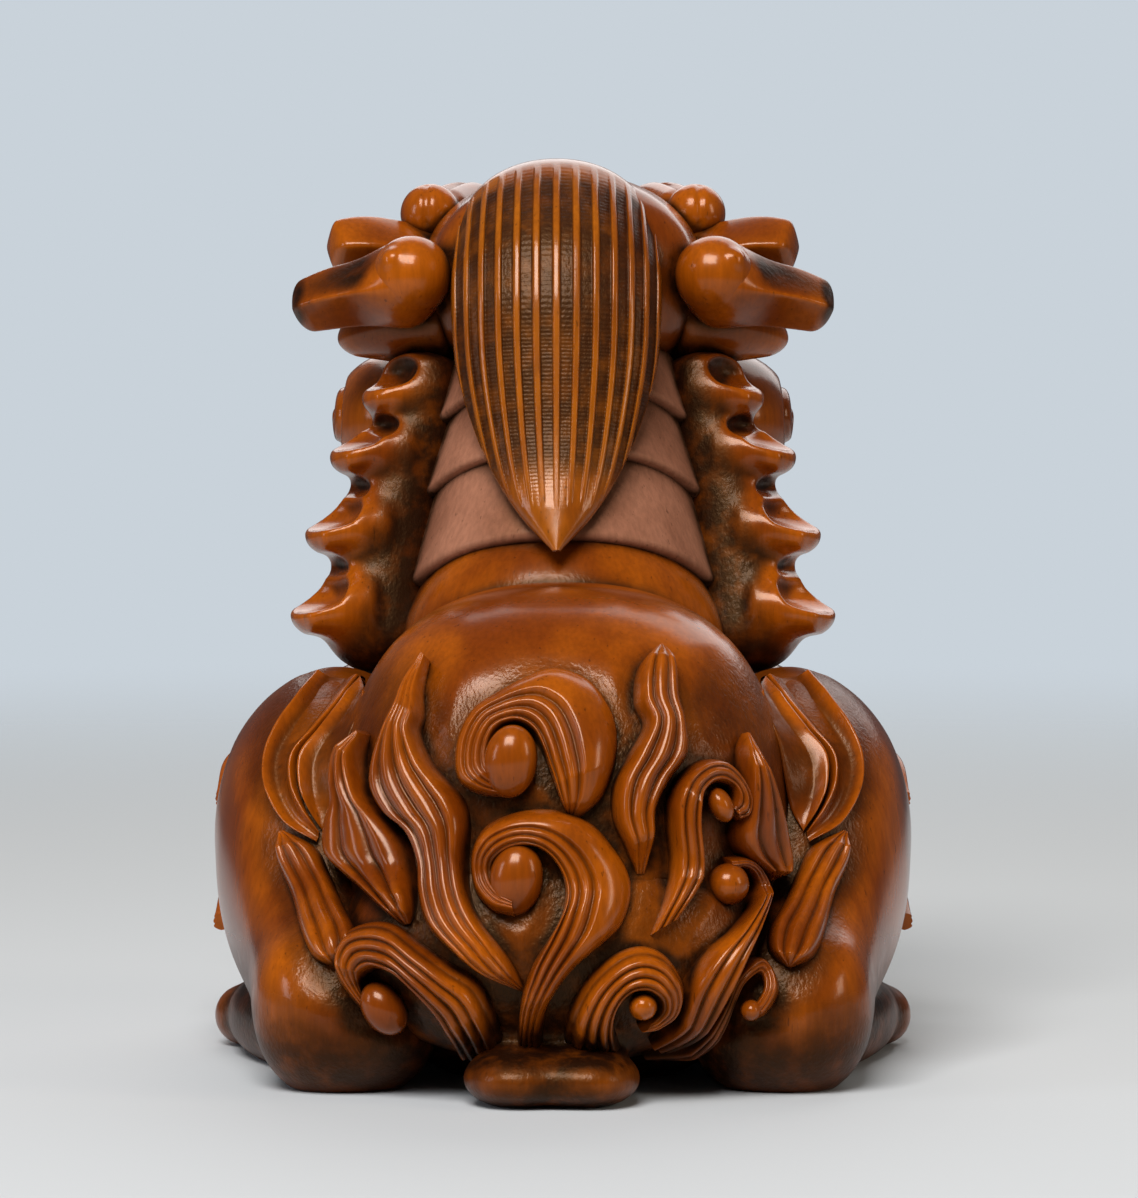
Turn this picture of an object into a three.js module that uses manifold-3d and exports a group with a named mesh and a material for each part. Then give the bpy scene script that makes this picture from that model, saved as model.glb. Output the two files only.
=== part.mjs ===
// A crouching qilin figurine carved in boxwood, seen from behind as its owner would place it:
// tail curls over the rump, neck plates, a ridged mane lock, and the head facing away.
// Millimetres, +Z up, +Y the way the animal faces, +X its right side. It stands on z = 0.
import * as THREE from "three";
import { mergeVertices } from "three/addons/utils/BufferGeometryUtils.js";
import Module from "manifold-3d";

const wasm = await Module();
wasm.setup();

// Driving dimensions

const GLUE_GAP = 0.3; // between two pieces that are glued face to face

// Body: one barrel from the rump to the chest
const BODY_BACK = 33; // rump, behind the middle of the body
const BODY_FRONT = 21; // breast, ahead of it
const BODY_TOP = 36;
const BODY_BOTTOM = -1.5; // the barrel is cut flat at z = 0, where the belly rests
const RUMP_WIDTH = 35;
const BREAST_WIDTH = 27;
const RUMP_ROUND = 17; // length over which the rump rounds off
const BREAST_ROUND = 13;

// Neck: stacked plates on a leaning axis
const NECK_LEAN = 18; // degrees forward
const NECK_FOOT_HEIGHT = 22; // where the neck's axis leaves the body
const NECK_LENGTH = 33;
const NECK_FOOT_WIDTH = 27.5;
const NECK_TOP_WIDTH = 18.5;
const COLLAR_START = 9.5; // along the axis, to the lowest plate
const PLATE_HEIGHTS = [4.4, 7.2, 5.8, 5.6]; // lowest first
const PLATE_LIP = 0.7; // how far a plate's lower rim stands out over the plate below

// Head
const SKULL_WIDTH = 22.5;
const SKULL_HEIGHT = 17;
const SKULL_LENGTH = 25;
const MUZZLE_LENGTH = 13;
const MUZZLE_WIDTH = 16.5;
const MUZZLE_HEIGHT = 9.5;
const JAW_HEIGHT = 6.5;
const MOUTH_GAP = 1.4;
const NOSE_WIDTH = 11;
const EYE_DIAMETER = 5.4;
const BROW_BALL = 4.8; // the rolled end of each brow
const JOWL_WIDTH = 11;
const BEARD_LENGTH = 10;
const EAR_LENGTH = 8.6;
const EAR_HEIGHT = 4.4;
const EAR_BALL = 6.2; // the round boss at each ear's root
const EAR_SPREAD = 11.7; // from the middle to each boss
const TEMPLE_TUFT = 8.6; // how far each one stands out of the skull

// Mane lock: one ridged lock from the crown down the nape
const MANE_WIDTH = 16.2;
const MANE_THICKNESS = 4.6;
const MANE_RIDGES = 10;
const MANE_GROOVE = 0.45;
const MANE_TIP_DROP = 24; // from the top of the skull's back to the tip
const MANE_ASIDE = -0.5; // the lock hangs a little left of the middle

// Side frills: hooked points down both sides of the neck
const FRILL_HOOKS = 4;
const FRILL_WIDTH = 7.6;
const HOOK_LENGTH = 6.2;
const HOOK_SPACING = 5.5;

// Legs and feet
const HAUNCH_WIDTH = 18.5;
const HAUNCH_LENGTH = 33;
const HAUNCH_HEIGHT = 26;
const HAUNCH_SPREAD = 17.2; // from the middle to each haunch's own middle
const HEEL_WIDTH = 13;
const HEEL_HEIGHT = 11;
const FOOT_WIDTH = 9.4;
const FOOT_HEIGHT = 7;
const FOOT_LENGTH = 17;
const TOE_DIAMETER = 4.6;
const TOES = 3;
const SHOULDER_WIDTH = 16;
const SHOULDER_LENGTH = 20;
const SHOULDER_HEIGHT = 25;
const FOREARM_WIDTH = 8.4;
const TUFT_REACH = 27; // half the width over the shoulder tufts, the widest place

// Relief on the haunches and the rump
const STRIP_HEIGHT = 1.6;
const LOCK_HEIGHT = 2.6;
const LOCK_EDGE = 0.5; // what a narrow lock's height adds to its half width
const LOCK_SUNK = 1.1; // from the body's face down to a lock's underside, before it is fitted
const LIP_WIDTH = 11.4; // the rolled root of the tail, under the curls
const LIP_HEIGHT = 3.6;
const LIP_LENGTH = 8;
const LIP_ASIDE = -0.8; // the tail sits a little left of the middle
const TAIL_WIDTH = 31.2; // the mass behind the rump that the lower curls are cut from
const TAIL_HEIGHT = 16.4;
const TAIL_DEPTH = 17.6;

// How finely the round forms are faceted
const RING_SIDES = 11;
const BODY_SIDES = 17;
const LOCK_SIDES = 6;
const STEPS = 8;

const Z_AXIS = new THREE.Vector3(0, 0, 1);
const TIP = 0.25; // half width of a pointed end
const mix = THREE.MathUtils.lerp;
const at = (x, y, z) => new THREE.Vector3(x, y, z);

// Solids

// A closed solid from points and triangles, turned to face out.
function solid(points, triangles) {
  const vertProperties = new Float32Array(points.flatMap((p) => [p.x, p.y, p.z]));
  const build = (list) =>
    new wasm.Manifold(new wasm.Mesh({ numProp: 3, vertProperties, triVerts: new Uint32Array(list) }));
  const made = build(triangles);
  if (made.volume() > 0) return made;
  const turned = [];
  for (let i = 0; i < triangles.length; i += 3) {
    turned.push(triangles[i], triangles[i + 2], triangles[i + 1]);
  }
  return build(turned);
}

// A skin through rings of equal count, closed by a fan over each end.
function loft(rings) {
  const sides = rings[0].length;
  const points = rings.flat();
  const triangles = [];
  for (let r = 0; r + 1 < rings.length; r++) {
    for (let s = 0; s < sides; s++) {
      const a = r * sides + s;
      const b = r * sides + ((s + 1) % sides);
      triangles.push(a, b, b + sides, a, b + sides, a + sides);
    }
  }
  const middle = (ring) => ring.reduce((sum, p) => sum.add(p), at(0, 0, 0)).divideScalar(sides);
  const first = points.push(middle(rings[0])) - 1;
  const last = points.push(middle(rings[rings.length - 1])) - 1;
  const top = (rings.length - 1) * sides;
  for (let s = 0; s < sides; s++) {
    const next = (s + 1) % sides;
    triangles.push(next, s, first, top + s, top + next, last);
  }
  return solid(points, triangles);
}

// A superellipse ring: power 2 is an oval, less is diamond-like, more is squarer.
function oval(centre, across, upward, wide, tall, power, sides) {
  const bend = (v) => Math.sign(v) * Math.abs(v) ** (2 / power);
  return Array.from({ length: sides }, (_, s) => {
    const angle = (s / sides) * 2 * Math.PI;
    return centre
      .clone()
      .addScaledVector(across, wide * bend(Math.cos(angle)))
      .addScaledVector(upward, tall * bend(Math.sin(angle)));
  });
}

// A limb: oval rings along a smooth line through stations [x, y, z, half width, half height].
// Each end rounds off over its cap length, and grow swells the whole limb for a clearance.
function limb(stations, grow = 0, options = {}) {
  const { power = 2.2, sides = RING_SIDES, steps = STEPS, caps = [3, 3], up = Z_AXIS } = options;
  const line = new THREE.CatmullRomCurve3(stations.map(([x, y, z]) => at(x, y, z)), false, "centripetal");
  const sizes = new THREE.CatmullRomCurve3(stations.map(([, , , wide, tall]) => at(wide, tall, 0)));
  const length = line.getLength();
  const rings = [];
  for (let i = 0; i <= steps; i++) {
    const t = (1 - Math.cos((i / steps) * Math.PI)) / 2; // stations crowd towards the two ends
    const tangent = line.getTangent(t);
    const across = tangent.clone().cross(up).normalize();
    const upward = across.clone().cross(tangent).normalize();
    const size = sizes.getPoint(t);
    const fromEnds = [t * length, (1 - t) * length];
    const roundOff = (e) => Math.sqrt(Math.max(0, 1 - (1 - Math.min(1, fromEnds[e] / caps[e])) ** 2));
    const swell = Math.min(caps[0] > 0 ? roundOff(0) : 1, caps[1] > 0 ? roundOff(1) : 1);
    const centre = line.getPoint(t).addScaledVector(tangent, grow * (2 * t - 1));
    const wide = Math.max(TIP, size.x * swell) + grow;
    const tall = Math.max(TIP, size.y * swell) + grow;
    rings.push(oval(centre, across, upward, wide, tall, power, sides));
  }
  return loft(rings);
}

// A closed solid from one of the stock geometries, its seams merged.
function solidOf(geometry) {
  geometry.deleteAttribute("normal");
  geometry.deleteAttribute("uv");
  const merged = mergeVertices(geometry, 1e-4);
  const positions = merged.getAttribute("position");
  const pointAt = (_, i) => at(0, 0, 0).fromBufferAttribute(positions, i);
  return solid(Array.from({ length: positions.count }, pointAt), Array.from(merged.index.array));
}

// An egg-shaped ball with its own half sizes.
function ball(centre, half, grow = 0, sides = RING_SIDES) {
  const sphere = new THREE.SphereGeometry(1, sides, Math.round(sides * 0.55));
  sphere.scale(half.x + grow, half.y + grow, half.z + grow);
  sphere.translate(centre.x, centre.y, centre.z);
  return solidOf(sphere);
}

const join = (solids) => solids.reduce((sum, one) => sum.add(one));

// Everything under the table's face is cut away, so the feet stand flat.
function ground() {
  const reach = 200;
  return solidOf(new THREE.BoxGeometry(reach, reach, reach)).translate([0, 0, -reach / 2]);
}

// Body and neck

const bodyMiddle = (BODY_TOP + BODY_BOTTOM) / 2;
const bodyHalf = (BODY_TOP - BODY_BOTTOM) / 2;

function torso(grow) {
  const stations = [
    [0, -BODY_BACK, bodyMiddle - 1, RUMP_WIDTH * 0.485, bodyHalf * 0.92],
    [0, -BODY_BACK * 0.5, bodyMiddle, RUMP_WIDTH / 2, bodyHalf],
    [0, 0, bodyMiddle, (RUMP_WIDTH + BREAST_WIDTH) / 4, bodyHalf * 0.96],
    [0, BODY_FRONT, bodyMiddle, BREAST_WIDTH / 2, bodyHalf * 0.88],
  ];
  const caps = [RUMP_ROUND, BREAST_ROUND];
  return limb(stations, grow, { power: 2.4, sides: BODY_SIDES, steps: 11, caps });
}

const lean = THREE.MathUtils.degToRad(NECK_LEAN);
const rightward = at(1, 0, 0);
const neckAxis = at(0, Math.sin(lean), Math.cos(lean));
const neckBack = at(0, -Math.cos(lean), Math.sin(lean));
const neckFoot = at(0, 0, NECK_FOOT_HEIGHT);
const neckPoint = (along) => neckFoot.clone().addScaledVector(neckAxis, along);
const neckRadius = (along) => mix(NECK_FOOT_WIDTH, NECK_TOP_WIDTH, along / NECK_LENGTH) / 2;

// One plate of the neck: it flares downwards, and its rim stands out over the plate below.
function neckPlate(index, grow) {
  const rim = 0.6; // rounding of the lower edge
  const start = PLATE_HEIGHTS.slice(0, index).reduce((sum, h) => sum + h, COLLAR_START);
  const end = start + PLATE_HEIGHTS[index] - GLUE_GAP;
  const ring = (along, radius) =>
    oval(neckPoint(along), rightward, neckBack, radius + grow, radius + grow, 2, BODY_SIDES);
  return loft([
    ring(start - grow, neckRadius(start) + PLATE_LIP - rim),
    ring(start + rim / 2, neckRadius(start) + PLATE_LIP),
    ring(mix(start, end, 0.4), neckRadius(mix(start, end, 0.4)) + PLATE_LIP * 0.55),
    ring(end + grow, neckRadius(end)),
  ]);
}

// Head, placed on the top of the neck

const neckTop = neckPoint(NECK_LENGTH);
// The skull's middle
const skull = { y: neckTop.y + SKULL_LENGTH * 0.09, z: neckTop.z + SKULL_HEIGHT * 0.32 };
const skullFront = skull.y + SKULL_LENGTH / 2;
const skullTop = skull.z + SKULL_HEIGHT / 2;
const muzzleFront = skullFront + MUZZLE_LENGTH * 0.85;
const muzzleHeight = skull.z - SKULL_HEIGHT * 0.2;
const jawHeight = muzzleHeight - MUZZLE_HEIGHT / 2 - MOUTH_GAP - JAW_HEIGHT / 2;

function skullForm(grow) {
  const { y, z } = skull;
  const stations = [
    [0, y - SKULL_LENGTH / 2, z, SKULL_WIDTH * 0.38, SKULL_HEIGHT * 0.42],
    [0, y - SKULL_LENGTH * 0.2, z, SKULL_WIDTH * 0.48, SKULL_HEIGHT / 2],
    [0, y + SKULL_LENGTH * 0.2, z, SKULL_WIDTH / 2, SKULL_HEIGHT / 2],
    [0, skullFront, z - SKULL_HEIGHT * 0.09, SKULL_WIDTH * 0.42, SKULL_HEIGHT * 0.4],
  ];
  return limb(stations, grow, { sides: 13, caps: [SKULL_LENGTH * 0.24, SKULL_LENGTH * 0.2] });
}

function muzzle(grow) {
  const start = skullFront - MUZZLE_LENGTH * 0.3;
  const stations = [
    [0, start, muzzleHeight * 1.02, MUZZLE_WIDTH / 2, MUZZLE_HEIGHT / 2],
    [0, mix(start, muzzleFront, 0.5), muzzleHeight, MUZZLE_WIDTH * 0.45, MUZZLE_HEIGHT * 0.44],
    [0, muzzleFront, muzzleHeight, MUZZLE_WIDTH * 0.48, MUZZLE_HEIGHT * 0.46],
  ];
  return limb(stations, grow, { power: 2.6, steps: 6, caps: [1.5, 3.5] });
}

function nose(grow) {
  const half = at(NOSE_WIDTH / 2, NOSE_WIDTH * 0.26, MUZZLE_HEIGHT * 0.26);
  return ball(at(0, muzzleFront - half.y * 0.7, muzzleHeight + MUZZLE_HEIGHT * 0.42), half, grow, 10);
}

function lowerJaw(grow) {
  const back = skull.y;
  const front = muzzleFront - MUZZLE_LENGTH * 0.2;
  const stations = [
    [0, back, jawHeight + JAW_HEIGHT * 0.4, SKULL_WIDTH * 0.32, JAW_HEIGHT * 0.55],
    [0, mix(back, front, 0.55), jawHeight + JAW_HEIGHT * 0.06, MUZZLE_WIDTH * 0.48, JAW_HEIGHT / 2],
    [0, front, jawHeight, MUZZLE_WIDTH * 0.4, JAW_HEIGHT * 0.46],
  ];
  return limb(stations, grow, { power: 2.5, steps: 6, caps: [2, 4] });
}

function beard(grow) {
  const front = muzzleFront - MUZZLE_LENGTH * 0.45;
  const chin = jawHeight - JAW_HEIGHT * 0.3;
  const stations = [
    [0, front, chin, MUZZLE_WIDTH * 0.3, BEARD_LENGTH * 0.34],
    [0, front - BEARD_LENGTH * 0.2, chin - BEARD_LENGTH * 0.45, MUZZLE_WIDTH * 0.26, BEARD_LENGTH * 0.28],
    [0, front - BEARD_LENGTH * 0.62, chin - BEARD_LENGTH, TIP, TIP],
  ];
  return limb(stations, grow, { steps: 6, sides: 10, caps: [2, 0], up: at(0, 1, 0) });
}

// The paired pieces of the head: side is 1 on the animal's right and -1 on its left.
function eye(side, grow) {
  const half = EYE_DIAMETER / 2;
  const centre = at(side * SKULL_WIDTH * 0.3, skullFront - half * 0.5, skull.z + SKULL_HEIGHT * 0.13);
  return ball(centre, at(half, half, half), grow, 10);
}

function brow(side, grow) {
  const roll = BROW_BALL / 2;
  const thick = [roll * 0.9, roll * 0.8];
  const stations = [
    [side * SKULL_WIDTH * 0.14, skullFront, skullTop - SKULL_HEIGHT * 0.21, roll * 0.7, roll * 0.6],
    [side * SKULL_WIDTH * 0.33, skullFront - roll * 0.6, skullTop - SKULL_HEIGHT * 0.12, ...thick],
    [side * SKULL_WIDTH * 0.45, skull.y + roll * 1.4, skullTop - SKULL_HEIGHT * 0.16, ...thick],
  ];
  const end = at(side * SKULL_WIDTH * 0.47, skull.y + roll, skullTop - roll * 1.2);
  const rolled = ball(end, at(roll, roll, roll), grow, 8);
  const caps = [roll * 0.6, roll * 0.8];
  return limb(stations, grow, { steps: 4, sides: 7, caps }).add(rolled);
}

function jowl(side, grow) {
  const half = at(JOWL_WIDTH / 2, JOWL_WIDTH * 0.7, JOWL_WIDTH * 0.5);
  const x = side * (MUZZLE_WIDTH * 0.46 + half.x);
  return ball(at(x, skull.y + JOWL_WIDTH / 2, jawHeight + JAW_HEIGHT * 0.3), half, grow, 11);
}

const earHeight = skull.z + SKULL_HEIGHT * 0.025;
const earDepth = skull.y - SKULL_LENGTH * 0.36;

function earBoss(side, grow) {
  const half = EAR_BALL / 2;
  return ball(at(side * EAR_SPREAD, earDepth, earHeight), at(half, half, half), grow, 10);
}

function ear(side, grow) {
  const root = EAR_SPREAD + EAR_BALL * 0.12;
  const y = earDepth + EAR_LENGTH * 0.15;
  const tall = EAR_HEIGHT;
  const stations = [
    [side * (root - EAR_LENGTH * 0.14), y, earHeight - tall * 0.2, tall * 0.58, tall * 0.58],
    [side * (root + EAR_LENGTH * 0.5), y * 1.05, earHeight - tall * 0.34, tall * 0.64, tall * 0.56],
    [side * (root + EAR_LENGTH), y * 1.14, earHeight - tall * 0.6, tall * 0.44, tall * 0.44],
  ];
  return limb(stations, grow, { power: 1.4, sides: 8, steps: 6, caps: [1, EAR_LENGTH * 0.16] });
}

function templeTuft(side, grow) {
  const root = SKULL_WIDTH * 0.44;
  const tuft = TEMPLE_TUFT;
  const stations = [
    [side * root, skull.y + tuft * 0.23, skull.z + tuft * 0.24, tuft * 0.36, tuft * 0.28],
    [side * (root + tuft * 0.62), skull.y + tuft * 0.07, skull.z + tuft * 0.34, tuft * 0.36, tuft * 0.29],
    [side * (root + tuft), skull.y - tuft * 0.05, skull.z + tuft * 0.34, tuft * 0.27, tuft * 0.24],
  ];
  return limb(stations, grow, { power: 1.3, sides: 8, steps: 6, caps: [1, tuft * 0.1] });
}

function cheekTuft(side, grow) {
  const low = skull.z - SKULL_HEIGHT * 0.18;
  const wide = SKULL_WIDTH;
  const stations = [
    [side * wide * 0.38, skull.y - SKULL_LENGTH * 0.16, low, wide * 0.165, wide * 0.145],
    [side * wide * 0.6, skull.y - SKULL_LENGTH * 0.12, low * 0.989, wide * 0.155, wide * 0.12],
    [side * wide * 0.79, skull.y - SKULL_LENGTH * 0.08, low * 0.971, wide * 0.05, wide * 0.045],
  ];
  return limb(stations, grow, { power: 1.9, sides: 8, steps: 6, caps: [1, 1.4] });
}

// Mane lock: a thick leaf over the crown and down the nape, ridged along its outer face
function maneLock(grow) {
  const half = MANE_WIDTH / 2;
  const nape = (along) => neckPoint(along).addScaledVector(neckBack, neckRadius(along) + PLATE_LIP);
  const tip = nape(COLLAR_START + PLATE_HEIGHTS[0] - 0.4).addScaledVector(neckBack, MANE_THICKNESS * 0.28);
  const low = nape(COLLAR_START + PLATE_HEIGHTS[0] + 4).addScaledVector(neckBack, MANE_THICKNESS * 0.4);
  const spine = [
    [skull.y + 1, skullTop - 0.4, half * 0.66],
    [skull.y - SKULL_LENGTH * 0.28, skullTop - 0.6, half * 0.9],
    [skull.y - SKULL_LENGTH * 0.54, skullTop - MANE_TIP_DROP * 0.27, half],
    [skull.y - SKULL_LENGTH * 0.635, skullTop - MANE_TIP_DROP * 0.56, half * 0.97],
    [skull.y - SKULL_LENGTH * 0.71, skullTop - MANE_TIP_DROP * 0.84, half * 0.74],
    [low.y, low.z, half * 0.34],
    [tip.y, tip.z, TIP],
  ];
  const line = new THREE.CatmullRomCurve3(spine.map(([y, z]) => at(MANE_ASIDE, y, z)), false, "centripetal");
  const widths = new THREE.CatmullRomCurve3(spine.map(([, , wide]) => at(wide, 0, 0)));
  const rounds = 7;
  const rings = [];
  for (let i = 0; i <= rounds; i++) {
    const t = i / rounds;
    const outward = line.getTangent(t).cross(rightward).normalize();
    const opening = Math.min(1, 0.45 + 2.2 * t); // the crown end is lower, so it meets the brow
    const wide = Math.max(TIP, widths.getPoint(t).x) + grow;
    const thick = (MANE_THICKNESS / 2) * Math.min(opening, 0.15 + 3 * (1 - t)) + grow;
    rings.push(ridgedRing(line.getPoint(t), outward, wide, thick));
  }
  return loft(rings);
}

// A lens-shaped ring whose outer face carries the mane's ridges, a crest and a groove to each.
function ridgedRing(centre, outward, wide, thick) {
  const rise = (s) => thick * (1 - Math.abs(s) ** 2.6) ** (1 / 2.6);
  const point = (s, lift) =>
    centre.clone().addScaledVector(rightward, s * wide).addScaledVector(outward, lift);
  const ring = [];
  const count = MANE_RIDGES * 2;
  const groove = Math.min(MANE_GROOVE, thick * 0.3);
  for (let i = 0; i <= count; i++) {
    const s = -1 + (2 * i) / count;
    ring.push(point(s, rise(s) - (i % 2 === 0 && i > 0 && i < count ? groove : 0)));
  }
  const inner = 4;
  for (let i = 1; i < inner; i++) {
    const s = 1 - (2 * i) / inner;
    ring.push(point(s, -rise(s)));
  }
  return ring;
}

// Side frill: a column beside the neck with hooked points that turn outwards, smallest at the top
function frill(side, grow) {
  const top = NECK_LENGTH - 4;
  const place = (along, reach, back, wide, tall) => {
    const p = neckPoint(along)
      .addScaledVector(rightward, side * (neckRadius(along) + reach))
      .addScaledVector(neckBack, back);
    return [p.x, p.y, p.z, wide, tall];
  };
  const bottom = top - HOOK_SPACING * (FRILL_HOOKS - 0.2);
  const half = FRILL_WIDTH / 2;
  const column = [
    place(top + HOOK_SPACING * 0.65, half * 0.4, half * 0.5, half * 0.84, half * 0.9),
    place(mix(top, bottom, 0.5), half * 0.4, half * 0.5, half, half * 0.9),
    place(bottom, half * 0.5, half * 0.5, half, half * 0.9),
  ];
  const caps = [half * 0.4, half * 0.6];
  const forms = [limb(column, grow, { sides: 7, steps: 4, caps, up: at(0, 1, 0) })];
  for (let i = 0; i < FRILL_HOOKS; i++) {
    const along = top - HOOK_SPACING * i;
    const reach = mix(HOOK_LENGTH * 0.88, HOOK_LENGTH * 1.32, i / (FRILL_HOOKS - 1));
    const hook = [
      place(along - HOOK_SPACING * 0.4, half * 0.4, half * 0.7, half * 0.7, half * 0.62),
      place(along - HOOK_SPACING * 0.28, reach * 0.58, half * 0.85, half * 0.62, half * 0.44),
      place(along, reach, half, half * 0.22, TIP),
    ];
    forms.push(limb(hook, grow, { sides: 6, steps: 3, caps: [1, 0] }));
  }
  return join(forms);
}

// Legs and feet

const heelBack = -BODY_BACK + 2;

function hindLeg(side, grow) {
  const thigh = ball(
    at(side * HAUNCH_SPREAD, -HAUNCH_LENGTH * 0.15, HAUNCH_HEIGHT * 0.64),
    at(HAUNCH_WIDTH / 2, HAUNCH_LENGTH / 2, HAUNCH_HEIGHT / 2),
    grow,
    13,
  );
  const wide = HEEL_WIDTH;
  const tall = HEEL_HEIGHT;
  const x = HAUNCH_SPREAD - wide * 0.2;
  const shank = [
    [side * (x + wide * 0.16), heelBack * 0.25, tall * 0.98, wide * 0.5, tall * 0.7],
    [side * (x + wide * 0.09), heelBack * 0.72, tall * 0.59, wide * 0.53, tall * 0.68],
    [side * x, heelBack, tall * 0.43, wide * 0.5, tall * 0.53],
  ];
  return thigh.add(limb(shank, grow, { sides: 11, steps: 6, caps: [3, tall * 0.55] }));
}

// A foot: its instep, and a row of toes across its end. It points along +Y.
function foot(stations, grow) {
  const [x, y, z, wide] = stations[stations.length - 1];
  const toe = TOE_DIAMETER / 2;
  const forms = [limb(stations, grow, { sides: 7, steps: 4, caps: [2, 3] })];
  for (let k = 0; k < TOES; k++) {
    const across = mix(-1, 1, k / (TOES - 1));
    const behind = toe * (Math.abs(across) * 0.48 + 0.3);
    const centre = at(x + across * (wide - toe * 0.55), y - behind, z - toe * 0.09);
    forms.push(ball(centre, at(toe * 0.92, toe * 1.25, toe), grow, 6));
  }
  return join(forms);
}

function hindFoot(side, grow) {
  const half = FOOT_WIDTH / 2;
  const tall = FOOT_HEIGHT / 2;
  const middle = tall * 0.83;
  const stations = [
    [side * (HAUNCH_SPREAD + half * 0.06), -FOOT_LENGTH * 0.94, middle, half * 0.9, tall],
    [side * (HAUNCH_SPREAD + half * 0.68), -FOOT_LENGTH * 0.44, middle, half, tall],
    [side * (HAUNCH_SPREAD + half * 0.94), FOOT_LENGTH * 0.06, middle * 0.86, half * 0.9, tall * 0.85],
  ];
  return foot(stations, grow);
}

const shoulderTop = HAUNCH_HEIGHT * 1.115; // the shoulders come up about as high as the haunches
const shoulder = { x: BREAST_WIDTH * 0.56, y: BODY_FRONT * 0.56, z: shoulderTop - SHOULDER_HEIGHT / 2 };

function foreleg(side, grow) {
  const upper = ball(
    at(side * shoulder.x, shoulder.y, shoulder.z),
    at(SHOULDER_WIDTH / 2, SHOULDER_LENGTH / 2, SHOULDER_HEIGHT / 2),
    grow,
  );
  const half = FOREARM_WIDTH / 2;
  const { x, y } = shoulder;
  const forearm = [
    [side * (x + half * 0.9), y - SHOULDER_LENGTH * 0.2, half * 2, half * 1.1, half * 1.25],
    [side * (x + half * 0.76), y + SHOULDER_LENGTH * 0.25, half * 1.2, half, half * 1.1],
    [side * (x + half * 0.43), y + SHOULDER_LENGTH * 0.7, half * 0.85, half * 0.92, half * 0.9],
  ];
  return upper.add(limb(forearm, grow, { sides: 9, steps: 5, caps: [3, 2] }));
}

function forepaw(side, grow) {
  const half = FOOT_WIDTH / 2;
  const tall = FOOT_HEIGHT / 2;
  const middle = tall * 0.83;
  const x = side * (shoulder.x + half * 0.36);
  const start = shoulder.y + SHOULDER_LENGTH * 0.67;
  const stations = [
    [x, start, middle, half * 0.85, tall],
    [x, start + FOOT_LENGTH * 0.35, middle, half, tall * 0.95],
    [x, start + FOOT_LENGTH * 0.56, middle * 0.86, half * 0.9, tall * 0.8],
  ];
  return foot(stations, grow);
}

// Flame tufts that sweep back from the shoulder and the elbow and end in a point
function shoulderTuft(side, lower, grow) {
  const surface = shoulder.x + SHOULDER_WIDTH / 2;
  const z = shoulder.z + SHOULDER_HEIGHT * (lower ? -0.22 : 0.18);
  const droop = SHOULDER_HEIGHT * (lower ? 0.07 : 0.1);
  const y = shoulder.y + SHOULDER_LENGTH * (lower ? -0.05 : 0.075);
  const thick = SHOULDER_WIDTH * 0.15;
  const sweep = SHOULDER_LENGTH * 0.45;
  const middle = mix(surface, TUFT_REACH, 0.5);
  const stations = [
    [side * (surface - thick * 0.8), y, z, thick * 0.83, thick],
    [side * middle, y - sweep * 0.45, z - droop * 0.3, thick * 0.54, thick * 0.8],
    [side * (TUFT_REACH - TIP), y - sweep, z - droop, TIP, TIP],
  ];
  return limb(stations, grow, { sides: 7, steps: 5, caps: [1.5, 0] });
}

// Tail root: the rolled lip under the curls, and the mass behind the rump that carries them
function tailRoot(grow) {
  const half = LIP_WIDTH / 2;
  const y = -BODY_BACK - LIP_LENGTH * 0.06;
  const lip = [
    [LIP_ASIDE - half, y + LIP_LENGTH * 0.1, LIP_HEIGHT / 2, LIP_LENGTH * 0.36, LIP_HEIGHT * 0.42],
    [LIP_ASIDE - half / 2, y, LIP_HEIGHT / 2, LIP_LENGTH * 0.48, LIP_HEIGHT / 2],
    [LIP_ASIDE, y, LIP_HEIGHT / 2, LIP_LENGTH * 0.45, LIP_HEIGHT * 0.44],
    [LIP_ASIDE + half / 2, y, LIP_HEIGHT / 2, LIP_LENGTH * 0.48, LIP_HEIGHT / 2],
    [LIP_ASIDE + half, y + LIP_LENGTH * 0.1, LIP_HEIGHT / 2, LIP_LENGTH * 0.36, LIP_HEIGHT * 0.42],
  ];
  const stem = at(LIP_ASIDE, y + LIP_LENGTH * 0.5, LIP_HEIGHT);
  const mass = at(LIP_ASIDE, y + TAIL_DEPTH * 0.4, TAIL_HEIGHT * 0.62);
  return join([
    limb(lip, grow, { sides: 8, steps: 6, caps: [LIP_HEIGHT * 0.8, LIP_HEIGHT * 0.8] }),
    ball(stem, at(half, LIP_LENGTH * 0.6, LIP_HEIGHT * 0.8), grow, 6),
    ball(mass, at(TAIL_WIDTH / 2, TAIL_DEPTH / 2, TAIL_HEIGHT / 2), grow, 12),
  ]);
}

// Relief laid on the rump and the haunches

const bedForm = join([torso(0), hindLeg(1, 0), hindLeg(-1, 0), tailRoot(0)]);
const bed = new THREE.Mesh(geometryOf(bedForm), new THREE.MeshBasicMaterial({ side: THREE.DoubleSide }));
bed.updateMatrixWorld();
const caster = new THREE.Raycaster();

function geometryOf(form) {
  const mesh = form.getMesh();
  const geometry = new THREE.BufferGeometry();
  geometry.setAttribute("position", new THREE.BufferAttribute(new Float32Array(mesh.vertProperties), 3));
  geometry.setIndex(new THREE.BufferAttribute(new Uint32Array(mesh.triVerts), 1));
  return geometry;
}

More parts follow.
